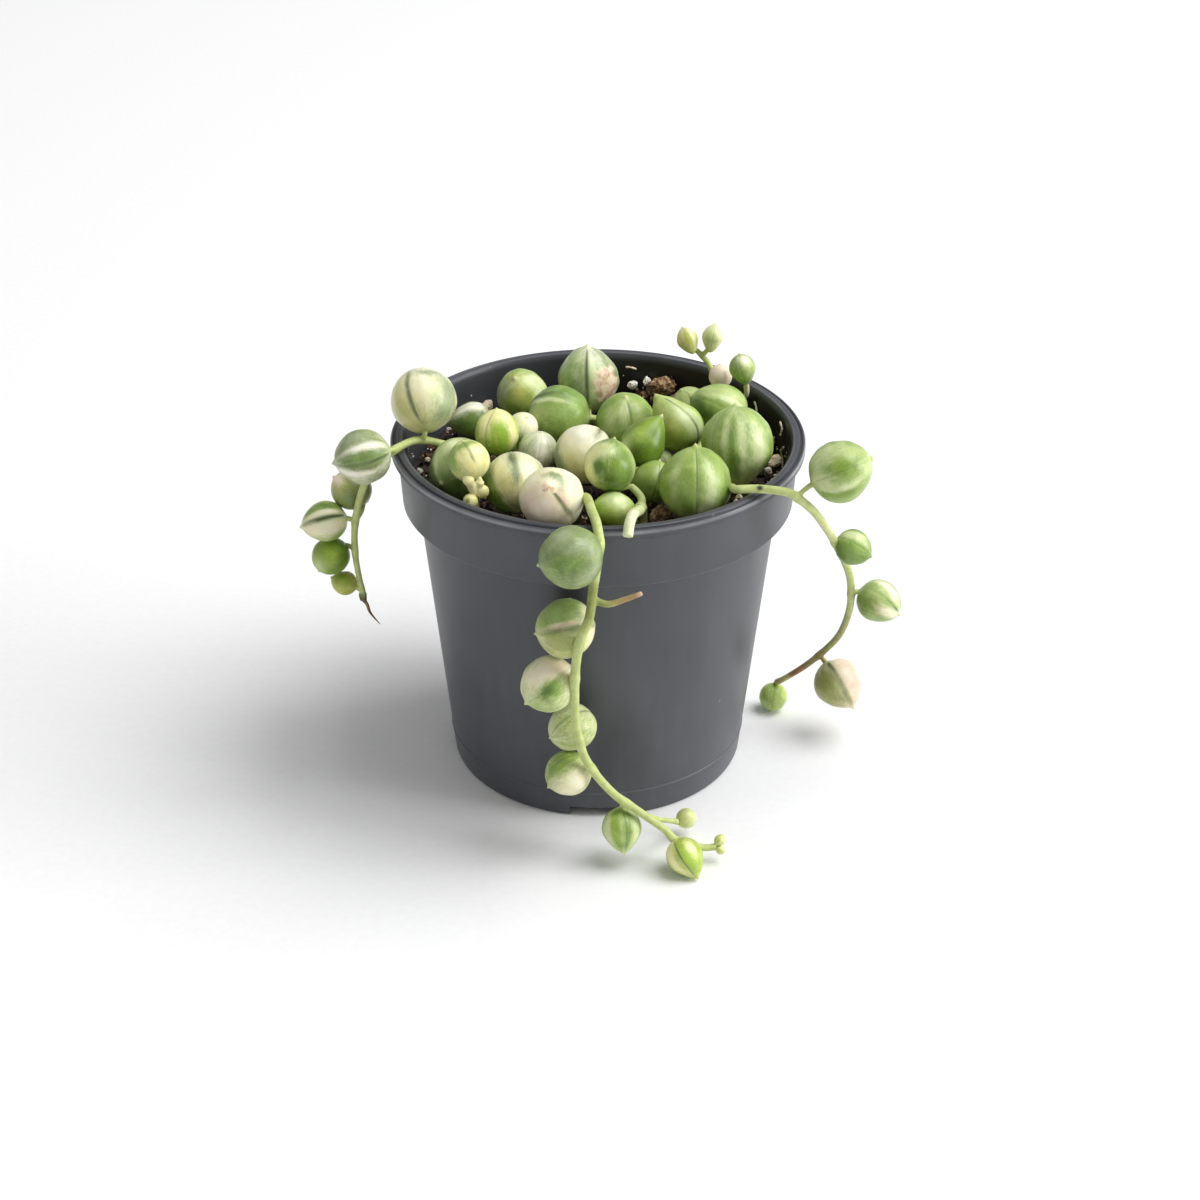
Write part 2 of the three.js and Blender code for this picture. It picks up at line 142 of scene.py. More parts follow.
bpy.ops.object.camera_add(location=CAMERA_PLACE)
camera = bpy.context.object
camera.name = "camera"
camera.data.sensor_width = SENSOR_MM
camera.data.lens = FOCAL_LENGTH_PX / PHOTO_WIDTH_PX * SENSOR_MM
camera.data.clip_start = 0.01
turned = Matrix.Rotation(-TURN_RIGHT, 4, "Z") @ Matrix.Rotation(math.pi / 2 - LOOK_DOWN, 4, "X")
camera.matrix_world = Matrix.Translation(CAMERA_PLACE) @ turned @ Matrix.Rotation(ROLL, 4, "Z")
bpy.context.scene.camera = camera
print("lens", round(camera.data.lens, 2), "mm")

# %% [markdown]
# ## Shader nodes
# A finish is a small graph of nodes. All the finishes here are made of the same few kinds, so
# each kind gets a short function that adds the node, sets its values and makes its links.

# %% Helpers for finishes
def add_node(tree, kind, settings=None, **inputs):
    """Adds a node. Each input is a value, a hex colour, an output to link to, or a node whose
    first output in use is meant. An input is called by its name, or by i and its number where
    several share a name, as on Math and Mix."""
    node = tree.nodes.new(kind)
    for name, value in (settings or {}).items():
        setattr(node, name, value)
    for name, value in inputs.items():
        by_number = name[0] == "i" and name[1:].isdigit()
        socket = node.inputs[int(name[1:]) if by_number else name.replace("_", " ")]
        if isinstance(value, bpy.types.Node):
            value = next(output for output in value.outputs if output.enabled)
        if isinstance(value, bpy.types.NodeSocket):
            tree.links.new(value, socket)
        else:
            socket.default_value = linear(value) if isinstance(value, str) else value
    return node


def new_material(name):
    """An empty material, its node tree, and the place on the object that noises are fixed to."""
    material = bpy.data.materials.new(name)
    material.use_nodes = True
    tree = material.node_tree
    tree.nodes.clear()
    return material, tree, add_node(tree, "ShaderNodeTexCoord").outputs["Object"]


def add_noise(tree, place, scale, **inputs):
    return add_node(tree, "ShaderNodeTexNoise", Vector=place, Scale=scale, **inputs)


def add_ramp(tree, value, stops):
    """A colour ramp with its stops, each a place and a hex colour."""
    ramp = add_node(tree, "ShaderNodeValToRGB", Fac=value)
    while len(ramp.color_ramp.elements) < len(stops):
        ramp.color_ramp.elements.new(0.5)
    for element, (place, colour) in zip(ramp.color_ramp.elements, stops):
        element.position = place
        element.color = linear(colour)
    return ramp


def add_bump(tree, height, strength, height_mm):
    return add_node(tree, "ShaderNodeBump", Height=height, Strength=strength, Distance=height_mm * MM)


def surface(material, tree, **inputs):
    """Gives the material its surface, and returns it finished."""
    skin = add_node(tree, "ShaderNodeBsdfPrincipled", **inputs)
    add_node(tree, "ShaderNodeOutputMaterial", Surface=skin)
    return material


print("helpers for finishes ready")

# %% [markdown]
# ## Floor and light
# The plant stands on plain white. A very broad soft light from the right, two thirds of the way
# up, draws the pale wide shadow straight to the left. A weaker low light brightens the pot's
# right edge, a bright surround fills the rest, and the white floor throws light back up at the
# pot. The scene shows colours as they are, with no film look on top, because the photograph's
# white is a clean white.

# %% Make the floor and the lights
FLOOR_WIDTH = 6.0
ROOM_BRIGHTNESS = 0.4
TARGET = Vector((0, 0, 30)) * MM
SOFT_BOXES = [
    ("key light", (0.9, 0.05, 1.6), 1.35, 29.0),
    ("side light", (1.5, -0.2, 0.5), 0.6, 11.0),
]

bpy.ops.mesh.primitive_plane_add(size=FLOOR_WIDTH, location=(0, 0, 0))
floor = bpy.context.object
floor.name = "floor"
paper, tree, place = new_material("matt white studio paper")
fibre = add_noise(tree, place, 900.0, Detail=3.0)
tint = add_ramp(tree, fibre, [(0.3, "#f4f4f5"), (0.7, "#f7f7f8")])
floor.data.materials.append(surface(paper, tree, Base_Color=tint, Roughness=0.9))

for name, place, size, watts in SOFT_BOXES:
    bpy.ops.object.light_add(type="AREA", location=place)
    lamp = bpy.context.object
    lamp.name = name
    lamp.data.size = size
    lamp.data.energy = watts
    lamp.rotation_euler = (TARGET - Vector(place)).to_track_quat("-Z", "Y").to_euler()

world = bpy.data.worlds.new("white room")
world.use_nodes = True
world.node_tree.nodes["Background"].inputs["Color"].default_value = (1, 1, 1, 1)
world.node_tree.nodes["Background"].inputs["Strength"].default_value = ROOM_BRIGHTNESS
bpy.context.scene.world = world
bpy.context.scene.view_settings.view_transform = "Standard"
print("lights:", [name for name, *_ in SOFT_BOXES])

# %% [markdown]
# ## The pot
# The real pot is one thin wall of polypropylene, injection-moulded in one shot. It could be
# turned from a profile, but a disc that is drawn out ring by ring teaches more: each ring is
# extruded from the last one and scaled to its radius. The radii are those of the construction.
# The lip has a fine groove near its outer edge, and a faint line runs round the foot where two
# parts of the mould met. The drain slots are cut with boxes.

# %% Draw the pot out ring by ring
RIM_RADIUS = 30
POT_HEIGHT = 52.3
BASE_RADIUS = 21.9
WALL = 0.9
FLOOR_THICKNESS = 1
LIP_FOOT = 50.8
BAND_FOOT = 42.7
BAND_FOOT_RADIUS = 28.5
BAND_TOP_RADIUS = 29
WALL_TOP_RADIUS = 26.3
LIP_INNER_RADIUS = 27.9
MOULD_LINE = 4.4
POT_SIDES = 192


def wall_radius(height):
    """Radius of the tapered wall's outside."""
    return BASE_RADIUS + (WALL_TOP_RADIUS - BASE_RADIUS) * height / BAND_FOOT


def pot_rings():
    """Radius and height of each ring, from the base up the outside and down the inside."""
    mould = wall_radius(MOULD_LINE)
    outside = [
        (BASE_RADIUS - 0.5, 0), (BASE_RADIUS - 0.15, 0.12), (wall_radius(0.6), 0.6),
        (mould - 0.02, MOULD_LINE - 0.15), (mould + 0.09, MOULD_LINE - 0.05),
        (mould + 0.09, MOULD_LINE + 0.05), (mould, MOULD_LINE + 0.15),
        (wall_radius(15), 15), (wall_radius(30), 30), (WALL_TOP_RADIUS, BAND_FOOT - 0.1),
        (WALL_TOP_RADIUS + 0.15, BAND_FOOT), (BAND_FOOT_RADIUS - 0.15, BAND_FOOT),
        (BAND_FOOT_RADIUS, BAND_FOOT + 0.15), (BAND_TOP_RADIUS, LIP_FOOT - 0.15),
        (BAND_TOP_RADIUS + 0.12, LIP_FOOT), (RIM_RADIUS - 0.25, LIP_FOOT),
        (RIM_RADIUS, LIP_FOOT + 0.25), (RIM_RADIUS, POT_HEIGHT - 0.5),
        (RIM_RADIUS - 0.15, POT_HEIGHT - 0.25), (RIM_RADIUS - 0.4, POT_HEIGHT - 0.2),
        (RIM_RADIUS - 0.55, POT_HEIGHT - 0.45), (RIM_RADIUS - 0.7, POT_HEIGHT - 0.45),
        (RIM_RADIUS - 0.82, POT_HEIGHT - 0.1), (RIM_RADIUS - 1, POT_HEIGHT),
    ]
    inside = [
        (LIP_INNER_RADIUS + 0.55, POT_HEIGHT), (LIP_INNER_RADIUS + 0.3, POT_HEIGHT - 0.1),
        (LIP_INNER_RADIUS + 0.12, POT_HEIGHT - 0.4), (LIP_INNER_RADIUS, POT_HEIGHT - 0.9),
        (BAND_FOOT_RADIUS - WALL, BAND_FOOT + 1),
        (WALL_TOP_RADIUS - WALL, BAND_FOOT - 0.5), (BASE_RADIUS - WALL + 0.4, FLOOR_THICKNESS + 0.5),
        (BASE_RADIUS - WALL - 0.4, FLOOR_THICKNESS),
    ]
    return outside + inside


def draw_out(rings, sides):
    """A closed shell: a disc at the first ring, extruded and scaled from ring to ring."""
    radius, height = rings[0]
    bpy.ops.mesh.primitive_circle_add(vertices=sides, radius=radius * MM, fill_type="NGON",
                                      location=(0, 0, height * MM))
    shell = bpy.context.object
    keep_place_in_mesh(shell)
    bpy.ops.object.mode_set(mode="EDIT")
    bpy.ops.mesh.select_all(action="SELECT")
    bpy.ops.mesh.region_to_loop()
    for next_radius, next_height in rings[1:]:
        bpy.ops.mesh.extrude_edges_move(
            TRANSFORM_OT_translate={"value": (0, 0, (next_height - height) * MM)}
        )
        scale = next_radius / radius
        bpy.ops.transform.resize(value=(scale, scale, 1), center_override=(0, 0, next_height * MM))
        radius, height = next_radius, next_height
    bpy.ops.mesh.edge_face_add()
    bpy.ops.mesh.select_all(action="SELECT")
    bpy.ops.mesh.normals_make_consistent(inside=False)
    bpy.ops.object.mode_set(mode="OBJECT")
    return shell


pot = draw_out(pot_rings(), POT_SIDES)
print("pot rings:", len(pot_rings()), "faces:", len(pot.data.polygons))

# %% [markdown]
# Four shallow slots at the foot of the wall let water out when the pot stands flat. A box is
# the cutter, and one Boolean modifier for each slot takes it away. A small bevel then rounds
# every sharp corner, because nothing leaves a mould with a perfect edge.

# %% Cut the drain slots and round the edges
DRAIN_COUNT = 4
DRAIN_WIDTH = 8
DRAIN_HEIGHT = 1.7
DRAIN_DEPTH = 4
EDGE_ROUND = 0.08

for i in range(DRAIN_COUNT):
    turn = i * 2 * math.pi / DRAIN_COUNT
    place = Vector((BASE_RADIUS * math.cos(turn), BASE_RADIUS * math.sin(turn), 0)) * MM
    bpy.ops.mesh.primitive_cube_add(size=MM, location=place, rotation=(0, 0, turn))
    cutter = bpy.context.object
    cutter.scale = (2 * DRAIN_DEPTH, DRAIN_WIDTH, 2 * DRAIN_HEIGHT)
    cut = pot.modifiers.new("drain slot", "BOOLEAN")
    cut.operation = "DIFFERENCE"
    cut.object = cutter
    apply_modifiers(pot)
    bpy.data.objects.remove(cutter)

rounding = pot.modifiers.new("moulded edges", "BEVEL")
rounding.width = EDGE_ROUND * MM
rounding.segments = 2
rounding.limit_method = "ANGLE"
rounding.angle_limit = math.radians(50)
apply_modifiers(pot)
pick(pot)
bpy.ops.object.shade_smooth_by_angle(angle=math.radians(35))
print("pot faces:", len(pot.data.polygons))

# %% [markdown]
# Moulded polypropylene is a satin plastic, grey right through. It never looks even. The melt
# leaves faint flow marks up the wall, which are noise stretched along it. Dust and dried water
# leave small spots, which are sparse cells half a millimetre across. Inside, above the soil, the
# wall gets painted shade: a dark film that is darkest on the right, where the inner wall lies in
# shade. The lip's edges, the mould line and the foot of the band get painted highlights: thin
# pale lines in patches, where light catches those edges. Each of these marks fades in over a pair
# of distances from the pot's axis, or over a pair of heights.

# %% Finish: moulded polypropylene
INNER_FACE = (28.35, 28.1)
INNER_SHADE_FOOT = (43.2, 43.6)
INNER_SHADE_TOP = (51.9, 51)
INNER_SHADE_SIDE = (-12, 4)
LIP_WIDTH = (28, 30)
LIP_FACE = (51.45, 51.7)


def mixed(tree, share, under, over, how="MIX"):
    """One colour laid over another by a share."""
    settings = {"data_type": "RGBA", "blend_type": how}
    return add_node(tree, "ShaderNodeMix", settings, i0=share, i6=under, i7=over)


def maths(tree, operation, value, *others):
    """The values taken together one after the other, as in a sum or a product."""
    for other in others:
        value = add_node(tree, "ShaderNodeMath", {"operation": operation}, i0=value, i1=other)
    return value


def spread(tree, value, low, high, start=0.0, end=1.0, how="LINEAR"):
    """The range from low to high, spread from start to end and held beyond."""
    return add_node(tree, "ShaderNodeMapRange", {"interpolation_type": how}, Value=value,
                    From_Min=low, From_Max=high, To_Min=start, To_Max=end)


def moulded_polypropylene():
    material, tree, place = new_material("moulded grey polypropylene")
    x, y, z = add_node(tree, "ShaderNodeSeparateXYZ", Vector=place).outputs
    level = add_node(tree, "ShaderNodeCombineXYZ", X=x, Y=y)
    away = add_node(tree, "ShaderNodeVectorMath", {"operation": "LENGTH"}, Vector=level)

    def fade(value, pair, start=0.0):
        return spread(tree, value, pair[0] * MM, pair[1] * MM, start)

    stretched = add_node(tree, "ShaderNodeMapping", Vector=place, Scale=(1, 1, 0.12))
    flow = add_noise(tree, stretched, 260.0, Detail=4.0)
    cloud = add_noise(tree, place, 70.0, Detail=3.0)
    marks = add_node(tree, "ShaderNodeMix", {"data_type": "FLOAT"}, Factor=0.5, A=flow, B=cloud)
    colour = add_ramp(tree, marks, [(0.3, "#3f4146"), (0.52, "#484a50"), (0.72, "#52545a")])

    # painted shade: a dark film over the inner wall above the soil, strongest on the right, where that
    # wall lies in shade
    painted_inner_shade = maths(tree, "MULTIPLY", fade(away, INNER_FACE), fade(z, INNER_SHADE_FOOT), fade(z, INNER_SHADE_TOP),
                 fade(x, INNER_SHADE_SIDE, 0.1), spread(tree, cloud, 0.25, 0.5, 0.8, 0.97))
    colour = mixed(tree, painted_inner_shade, colour, "#161612")

    patchy = spread(tree, cloud, 0.35, 0.6, 0.35)
    # painted highlights: pale lines along the lip's inner and outer edges, where light catches them
    lip_edge_highlights = add_ramp(tree, fade(away, LIP_WIDTH), [
        (0.05, "#000000"), (0.2, "#777777"), (0.3, "#000000"), (0.9, "#000000"), (0.97, "#cccccc"),
    ])
    lip_highlights = maths(tree, "MULTIPLY", lip_edge_highlights, fade(z, LIP_FACE), patchy)
    colour = mixed(tree, lip_highlights, colour, "#b4b6ba")
    # painted highlights: a pale line along the mould line and one along the band's foot, where light
    # catches these edges
    line_and_band_foot_highlights = add_ramp(tree, spread(tree, z, 0.0, POT_HEIGHT * MM), [
        (0.081, "#000000"), (0.083, "#777777"), (0.085, "#777777"), (0.087, "#000000"),
        (0.8155, "#000000"), (0.8165, "#aaaaaa"), (0.8185, "#aaaaaa"), (0.8205, "#000000"),
    ])
    colour = mixed(tree, maths(tree, "MULTIPLY", line_and_band_foot_highlights, patchy), colour, "#a2a4a8")

    cells = add_node(tree, "ShaderNodeTexVoronoi", Vector=place, Scale=420.0)
    seldom = add_noise(tree, place, 160.0)
    dust = maths(tree, "MULTIPLY", spread(tree, cells, 0.16, 0.1), spread(tree, seldom, 0.66, 0.7))
    grain = add_noise(tree, place, 2600.0, Detail=2.0)
    return surface(
        material, tree, Base_Color=mixed(tree, dust, colour, "#a9a8a6"), IOR=1.49,
        Roughness=spread(tree, marks, 0.3, 0.7, 0.32, 0.44), Normal=add_bump(tree, grain, 0.12, 0.05),
    )


dress(pot, "pot_shell", moulded_polypropylene(), "pot")
print("pot finished:", pot.name)

# %% [markdown]
# ## The soil
# A peat mix for succulents is dark, coarse and open. Its body is a disc drawn down to the pot's
# floor. Its top is a fine grid that noise pushes up and down, and hundreds of separate crumbs
# lie on it. A crumb is modelled once in a few shapes and copied, turned and scaled by a seeded
# random draw, because real crumbs repeat nothing.

# %% The body of the soil
SOIL_LEVEL = 45.4
CRUMB_HEIGHT = 0.45
HEAP_PLACE = (9, 25)
HEAP_HEIGHT = 2.1
HEAP_WIDTH = 5
SOIL_GAP = 1.2
SOIL_RADIUS = BAND_FOOT_RADIUS - SOIL_GAP
SOIL_SIDES = 320
SOIL_RINGS = 60
BED_BELOW_CRUMBS = 0.3
SMOOTH_EDGE = 0.8


def soil_height(x, y):
    """Height of the soil's top, in millimetres, with its waves and the heap at the back wall."""
    coarse = math.sin(1.9 * x + 0.6 * y) * math.cos(0.4 * x - 2.1 * y)
    fine = math.sin(3.7 * x - 2.3 * y + 1) * math.cos(2.9 * y + 1.7 * x)
    away = ((x - HEAP_PLACE[0]) ** 2 + (y - HEAP_PLACE[1]) ** 2) / HEAP_WIDTH**2
    return SOIL_LEVEL + CRUMB_HEIGHT * (0.6 * coarse + 0.4 * fine) + HEAP_HEIGHT * math.exp(-away)


def texture(name, kind, size_mm):
    """A noise whose bumps are about size_mm wide, for a Displace modifier."""
    noise = bpy.data.textures.new(name, kind)
    noise.noise_scale = size_mm * MM
    return noise


def displace(piece, noise, height_mm, direction="NORMAL", group=""):
    push = piece.modifiers.new(noise.name, "DISPLACE")
    push.texture = noise
    push.texture_coords = "GLOBAL"
    push.strength = height_mm * MM
    push.mid_level = 0.5
    push.direction = direction
    push.vertex_group = group


def soil_bed():
    """Soil drawn up from the pot's floor along the wall, then inwards over the top in rings."""
    rings = [
        (BASE_RADIUS - SOIL_GAP, FLOOR_THICKNESS + 0.3),
        (WALL_TOP_RADIUS - SOIL_GAP, BAND_FOOT - 0.3),
        (SOIL_RADIUS, BAND_FOOT + 1.5),
        (SOIL_RADIUS, SOIL_LEVEL),
    ]
    rings += [(SOIL_RADIUS * (1 - i / SOIL_RINGS), SOIL_LEVEL) for i in range(1, SOIL_RINGS)]
    bed = draw_out(rings, SOIL_SIDES)
    top = bed.vertex_groups.new(name="top")
    for vertex in bed.data.vertices:
        x, y, z = vertex.co / MM
        if z > SOIL_LEVEL - 0.01:
            vertex.co.z = (soil_height(x, y) - BED_BELOW_CRUMBS) * MM
            from_edge = SOIL_RADIUS - math.hypot(x, y)
            top.add([vertex.index], min(1.0, from_edge / SMOOTH_EDGE), "REPLACE")
    displace(bed, texture("crumbs", "VORONOI", 1.1), 0.8, "Z", "top")
    displace(bed, texture("grit", "CLOUDS", 0.4), 0.35, "Z", "top")
    apply_modifiers(bed)
    return bed


bed = soil_bed()
print("soil bed faces:", len(bed.data.polygons))

# %% [markdown]
# A crumb is a small sphere of triangles that noise has knocked out of shape. Noise that is
# fixed in space gives each crumb its own shape if the crumb is moved before the noise is
# applied, so a few are shaped in a row above the plant and then copied. All the copies are
# joined into one piece, because nobody picks up a single crumb. Each carries its own shade.

# %% Crumbs on the soil
CRUMB_FORMS = 6
CRUMB_COUNT = 1100
CRUMB_WIDTHS = (0.5, 0.6, 0.7, 0.8, 1.0, 1.2, 1.5)
CRUMB_SINK = 0.12
CRUMB_EDGE = 0.9
EVEN_SPREAD = 0.5
CRUMB_SEED = 11
SHAPING_HEIGHT = 80
SHAPING_STEP = 3
random.seed(CRUMB_SEED)


def rough_lump(name, column, row_mm, detail, roughness):
    """A unit lump, about 1 mm across, knocked out of shape by noise fixed in space."""
    place = Vector((SHAPING_STEP * column, row_mm, SHAPING_HEIGHT)) * MM
    bpy.ops.mesh.primitive_ico_sphere_add(subdivisions=detail, radius=0.5 * MM, location=place)
    lump = bpy.context.object
    lump.name = name
    displace(lump, texture(name, "CLOUDS", 0.55), roughness)
    apply_modifiers(lump)
    lump.location = (0, 0, 0)
    keep_place_in_mesh(lump)
    return lump


def scatter(name, count, row_mm, detail, roughness, spots):
    """Shapes a few lumps and copies them to the spots (place, size, shade), as one piece."""
    forms = [rough_lump(f"{name}_{i}", i, row_mm, detail, roughness) for i in range(count)]
    copies = []
    for place, size, shade in spots:
        copy = bpy.data.objects.new(name, random.choice(forms).data.copy())
        bpy.context.collection.objects.link(copy)
        copy.location = Vector(place) * MM
        copy.scale = Vector(size)
        copy.rotation_euler = [random.uniform(0, 2 * math.pi) for _ in range(3)]
        tone = copy.data.attributes.new("shade", "FLOAT", "POINT")
        tone.data.foreach_set("value", [shade] * len(copy.data.vertices))
        copies.append(copy)
    put_away(forms)
    return join(copies)


def random_place(edge, power):
    """A random place on the soil, inside an edge that stays free. The power 0.5 spreads the
    places evenly, and a smaller one crowds them towards the wall."""
    radius = (SOIL_RADIUS - edge) * random.random() ** power
    turn = random.uniform(0, 2 * math.pi)
    return radius * math.cos(turn), radius * math.sin(turn)


def crumb_spots():
    spots = []
    for _ in range(CRUMB_COUNT):
        x, y = random_place(CRUMB_EDGE, EVEN_SPREAD)
        wide = random.choice(CRUMB_WIDTHS)
        size = (wide, wide * random.uniform(0.6, 1), wide * random.uniform(0.5, 0.9))
        spots.append(((x, y, soil_height(x, y) - CRUMB_SINK * wide), size, random.random()))
    return spots


crumbs = scatter("crumbs", CRUMB_FORMS, 0, 2, 0.9, crumb_spots())
print("crumbs:", CRUMB_COUNT, "faces:", len(crumbs.data.polygons))

# %% [markdown]
# Moist peat is nearly black where it lies deep and warm brown where a crumb has dried. The
# finish mixes the two by each crumb's own shade and by noise the size of a crumb. It is rough
# all over and throws back very little light.

# %% Finish: moist peat mix
def stored(tree, name):
    """The outputs that give the values stored on a piece's points."""
    return add_node(tree, "ShaderNodeAttribute", {"attribute_name": name}).outputs


def peat_mix(name, use_shade):
    material, tree, place = new_material(name)
    mix = add_noise(tree, place, 900.0, Detail=6.0, Roughness=0.7)
    if use_shade:
        mix = add_node(tree, "ShaderNodeMix", {"data_type": "FLOAT"}, Factor=0.6,
                       A=mix, B=stored(tree, "shade")["Fac"])
    browns = [(0.2, "#120d0a"), (0.5, "#271c16"), (0.72, "#54402f"), (0.95, "#8f7355")]
    grain = add_noise(tree, place, 5000.0, Detail=3.0)
    return surface(material, tree, Base_Color=add_ramp(tree, mix, browns), Roughness=0.85,
                   Normal=add_bump(tree, grain, 0.6, 0.1))


dress(bed, "soil_bed", peat_mix("moist peat bed", False), "soil")
dress(crumbs, "soil_crumbs", peat_mix("peat crumbs", True), "soil")
print("soil finished")

# %% [markdown]
# ## Grit
# A mix for succulents also holds white perlite, bits of bark and a few small stones. Perlite is
# glass blown up by heat, so it is white, chalky and full of tiny pores. Bark is fibrous and warm
# brown, and the stones are worn and tan. One function serves all three: the noise that picks
# the colour also raises the skin.

# %% Finish: perlite, bark and stone
def dry_grain(name, stops, scale, stretch, bump_mm, roughness):
    """A dry mineral or wooden grain, with its noise drawn out by the stretch."""
    material, tree, place = new_material(name)
    drawn = add_node(tree, "ShaderNodeMapping", Vector=place, Scale=stretch)
    skin = add_noise(tree, drawn, scale, Detail=5.0)
    return surface(material, tree, Base_Color=add_ramp(tree, skin, stops), Roughness=roughness,
                   Normal=add_bump(tree, skin, 0.7, bump_mm))


WHITES = [(0.3, "#d6d0c2"), (0.6, "#f8f4ea")]
BROWNS = [(0.3, "#4f3728"), (0.5, "#8d6b4c"), (0.7, "#d6b78e")]
TANS = [(0.3, "#d8bc95"), (0.62, "#fbeccf")]
PERLITE = dry_grain("expanded perlite", WHITES, 2400.0, (1, 1, 1), 0.12, 0.9)
BARK = dry_grain("pine bark", BROWNS, 1500.0, (1, 0.5, 1), 0.2, 0.9)
STONE = dry_grain("tan grit stone", TANS, 1300.0, (1, 1, 1), 0.06, 0.7)
print("finishes:", PERLITE.name, BARK.name, STONE.name)

# %% [markdown]
# The larger grains are pieces of their own, at the places that the construction gives them, and
# each rests on the highest soil under it. A row gives the name, the finish, the slot, the place,
# the width, the flatness and the turn. Then smaller grains without a name are pressed among the
# crumbs, as a place and a width: pale specks of perlite, cream chips and straw-coloured bark.

# %% Place the grit
GRAIN_GAP = 0.3
GRAIN_SHAPE = Vector((1.05, 0.84, 1.05))
GRIT_RISE = 0.25
GRAINS = [
    ("perlite_1", PERLITE, "perlite", (5.3, 25.2), 1.6, 0.8, 20),
    ("perlite_2", PERLITE, "perlite", (7.5, 25.4), 1.4, 0.9, 70),
    ("perlite_side_1", PERLITE, "perlite", (24.8, -0.3), 1, 0.9, 10),
    ("perlite_side_2", PERLITE, "perlite", (-26, -1), 1, 0.9, 0),
    ("bark_1", BARK, "bark_chip", (9.9, 23), 4, 0.6, 30),
    ("bark_2", BARK, "bark_chip", (9.1, -15.5), 3.6, 0.6, 80),
    ("pebble_1", STONE, "pebble", (25.8, 1.7), 2, 0.8, 40),
    ("pebble_2", STONE, "pebble", (-17, 20.4), 2, 0.7, 60),
]
LOOSE_GRIT = [
    (PERLITE, "loose perlite", [
        ((-25.1, -3.1), 0.5), ((-24.5, 3.2), 0.6), ((-26.3, -6.5), 0.7), ((23.2, -4.6), 0.6),
        ((8.8, 21.4), 0.5), ((-22.6, 14.5), 0.8), ((25.4, 5.2), 0.5), ((-13.2, -21.6), 0.6),
        ((9.4, -20.4), 0.5), ((13.4, 21.6), 0.6), ((-15, 15.5), 0.7), ((2.2, 12.2), 0.5),
        ((22.4, -12.6), 0.6), ((-6, -24.4), 0.5), ((21.6, 3.6), 0.5), ((22.9, -4.4), 1),
        ((23.6, -7.4), 0.9), ((21, -9.2), 0.8), ((25.9, -0.4), 0.8), ((19.4, -10.4), 0.7),
    ]),
    (STONE, "loose grit", [
        ((25.6, -4.4), 1.3), ((24.2, -6), 1.2), ((22.4, -9.8), 1.3), ((25.4, -2.2), 1.1),
        ((21.2, -12.8), 1.2), ((23.9, -11.8), 1.1), ((26, -6.8), 1), ((7.2, -17.5), 2),
        ((9.6, -18.2), 1.1), ((11.4, -21.2), 1.2), ((-26.6, -1.6), 1.1), ((-25.2, 4.6), 0.9),
        ((24.8, -8.2), 0.9), ((23.4, -10.6), 0.8), ((22.9, -6.8), 0.6), ((-20.6, 17.2), 0.9),
        ((-10, -23.6), 0.8), ((12.2, 24.4), 0.8), ((6.8, 22.2), 0.7), ((19.6, 15.8), 0.7),
        ((7.9, -22.3), 0.7), ((-21.8, -12.8), 0.8), ((16.6, 20.4), 0.8), ((3.4, 23.6), 0.6),
        ((22.5, -6.1), 1.4), ((21.4, -8.3), 1.4), ((20.3, -7.2), 1.2), ((19.8, -9.6), 1.3),
        ((22.8, -8.8), 1.2), ((24.6, -4.9), 1.3), ((21.3, -10.7), 1.2), ((18.6, -11.6), 1.1),
        ((26.4, 3.6), 1.2), ((25.1, 0.4), 1),
    ]),
    (BARK, "loose bark", [
        ((7.1, 23.2), 1.3), ((8.4, 21.9), 1.5), ((9.6, 21.2), 1.3), ((11, 21.3), 1.6),
        ((12.1, 21.6), 1.2), ((6.9, 22), 1.1), ((13.2, 22.4), 1.3), ((9.2, 20.4), 1.1),
        ((10.6, 20.2), 1.2), ((7.8, 20.6), 1), ((11.6, 22.2), 1.9), ((12.8, 23.6), 1.5),
        ((8.2, 23.4), 1.4), ((-23.8, 0.8), 1.7), ((24.2, 4.8), 1.6), ((-14.6, 18.4), 1.8),
        ((-24.6, 8.8), 1.5), ((22, -15), 1.6), ((-3, -25), 1.7), ((8.4, -12.6), 1.5),
        ((15.6, -23), 1.6), ((-19.4, 13.6), 1.6), ((10.4, 19.8), 1.3), ((23.2, 10.6), 1.5),
        ((-8.2, 22.6), 1.6),
    ]),
]


def highest_near(x, y, reach):
    """The highest soil within reach of a place."""
    heights = []
    for away in (0, 0.5 * reach, reach):
        for turn in range(0, 360, 30):
            angle = math.radians(turn)
            heights.append(soil_height(x + away * math.cos(angle), y + away * math.sin(angle)))
    return max(heights)


for i, (name, finish, slot, (x, y), width, flatness, turn) in enumerate(GRAINS):
    grain = rough_lump(name, i, 9, 5, 0.45)
    displace(grain, texture("grain skin", "CLOUDS", 0.14), 0.3 if finish is BARK else 0.12)
    apply_modifiers(grain)
    grain.scale = GRAIN_SHAPE * width
    grain.scale.z *= flatness
    grain.rotation_euler = (0, 0, math.radians(turn))
    height = highest_near(x, y, width / 2 + 1) + GRAIN_GAP + width * flatness / 2
    grain.location = Vector((x, y, height)) * MM
    keep_place_in_mesh(grain)
    dress(grain, name + "_grain", finish, name)

for i, (finish, name, spots) in enumerate(LOOSE_GRIT):
    placed = [((x, y, soil_height(x, y) + GRIT_RISE * size), (size, 0.8 * size, 0.7 * size), 0.5)
              for (x, y), size in spots]
    grit = scatter(name, 3, 20 + 4 * i, 3, 0.6, placed)
    dress(grit, name.replace(" ", "_"), finish, "soil")
print("named grains:", len(GRAINS), "loose grains:", sum(len(spots) for _, _, spots in LOOSE_GRIT))

# %% [markdown]
# Between the crumbs lie the fines of the mix: a few hundred pale and tan bits, a quarter to half
# a millimetre wide, at random places. They are thickest in the ring along the wall, where no
# leaf shades the soil and watering washes them. Some stick to the wall above the soil.

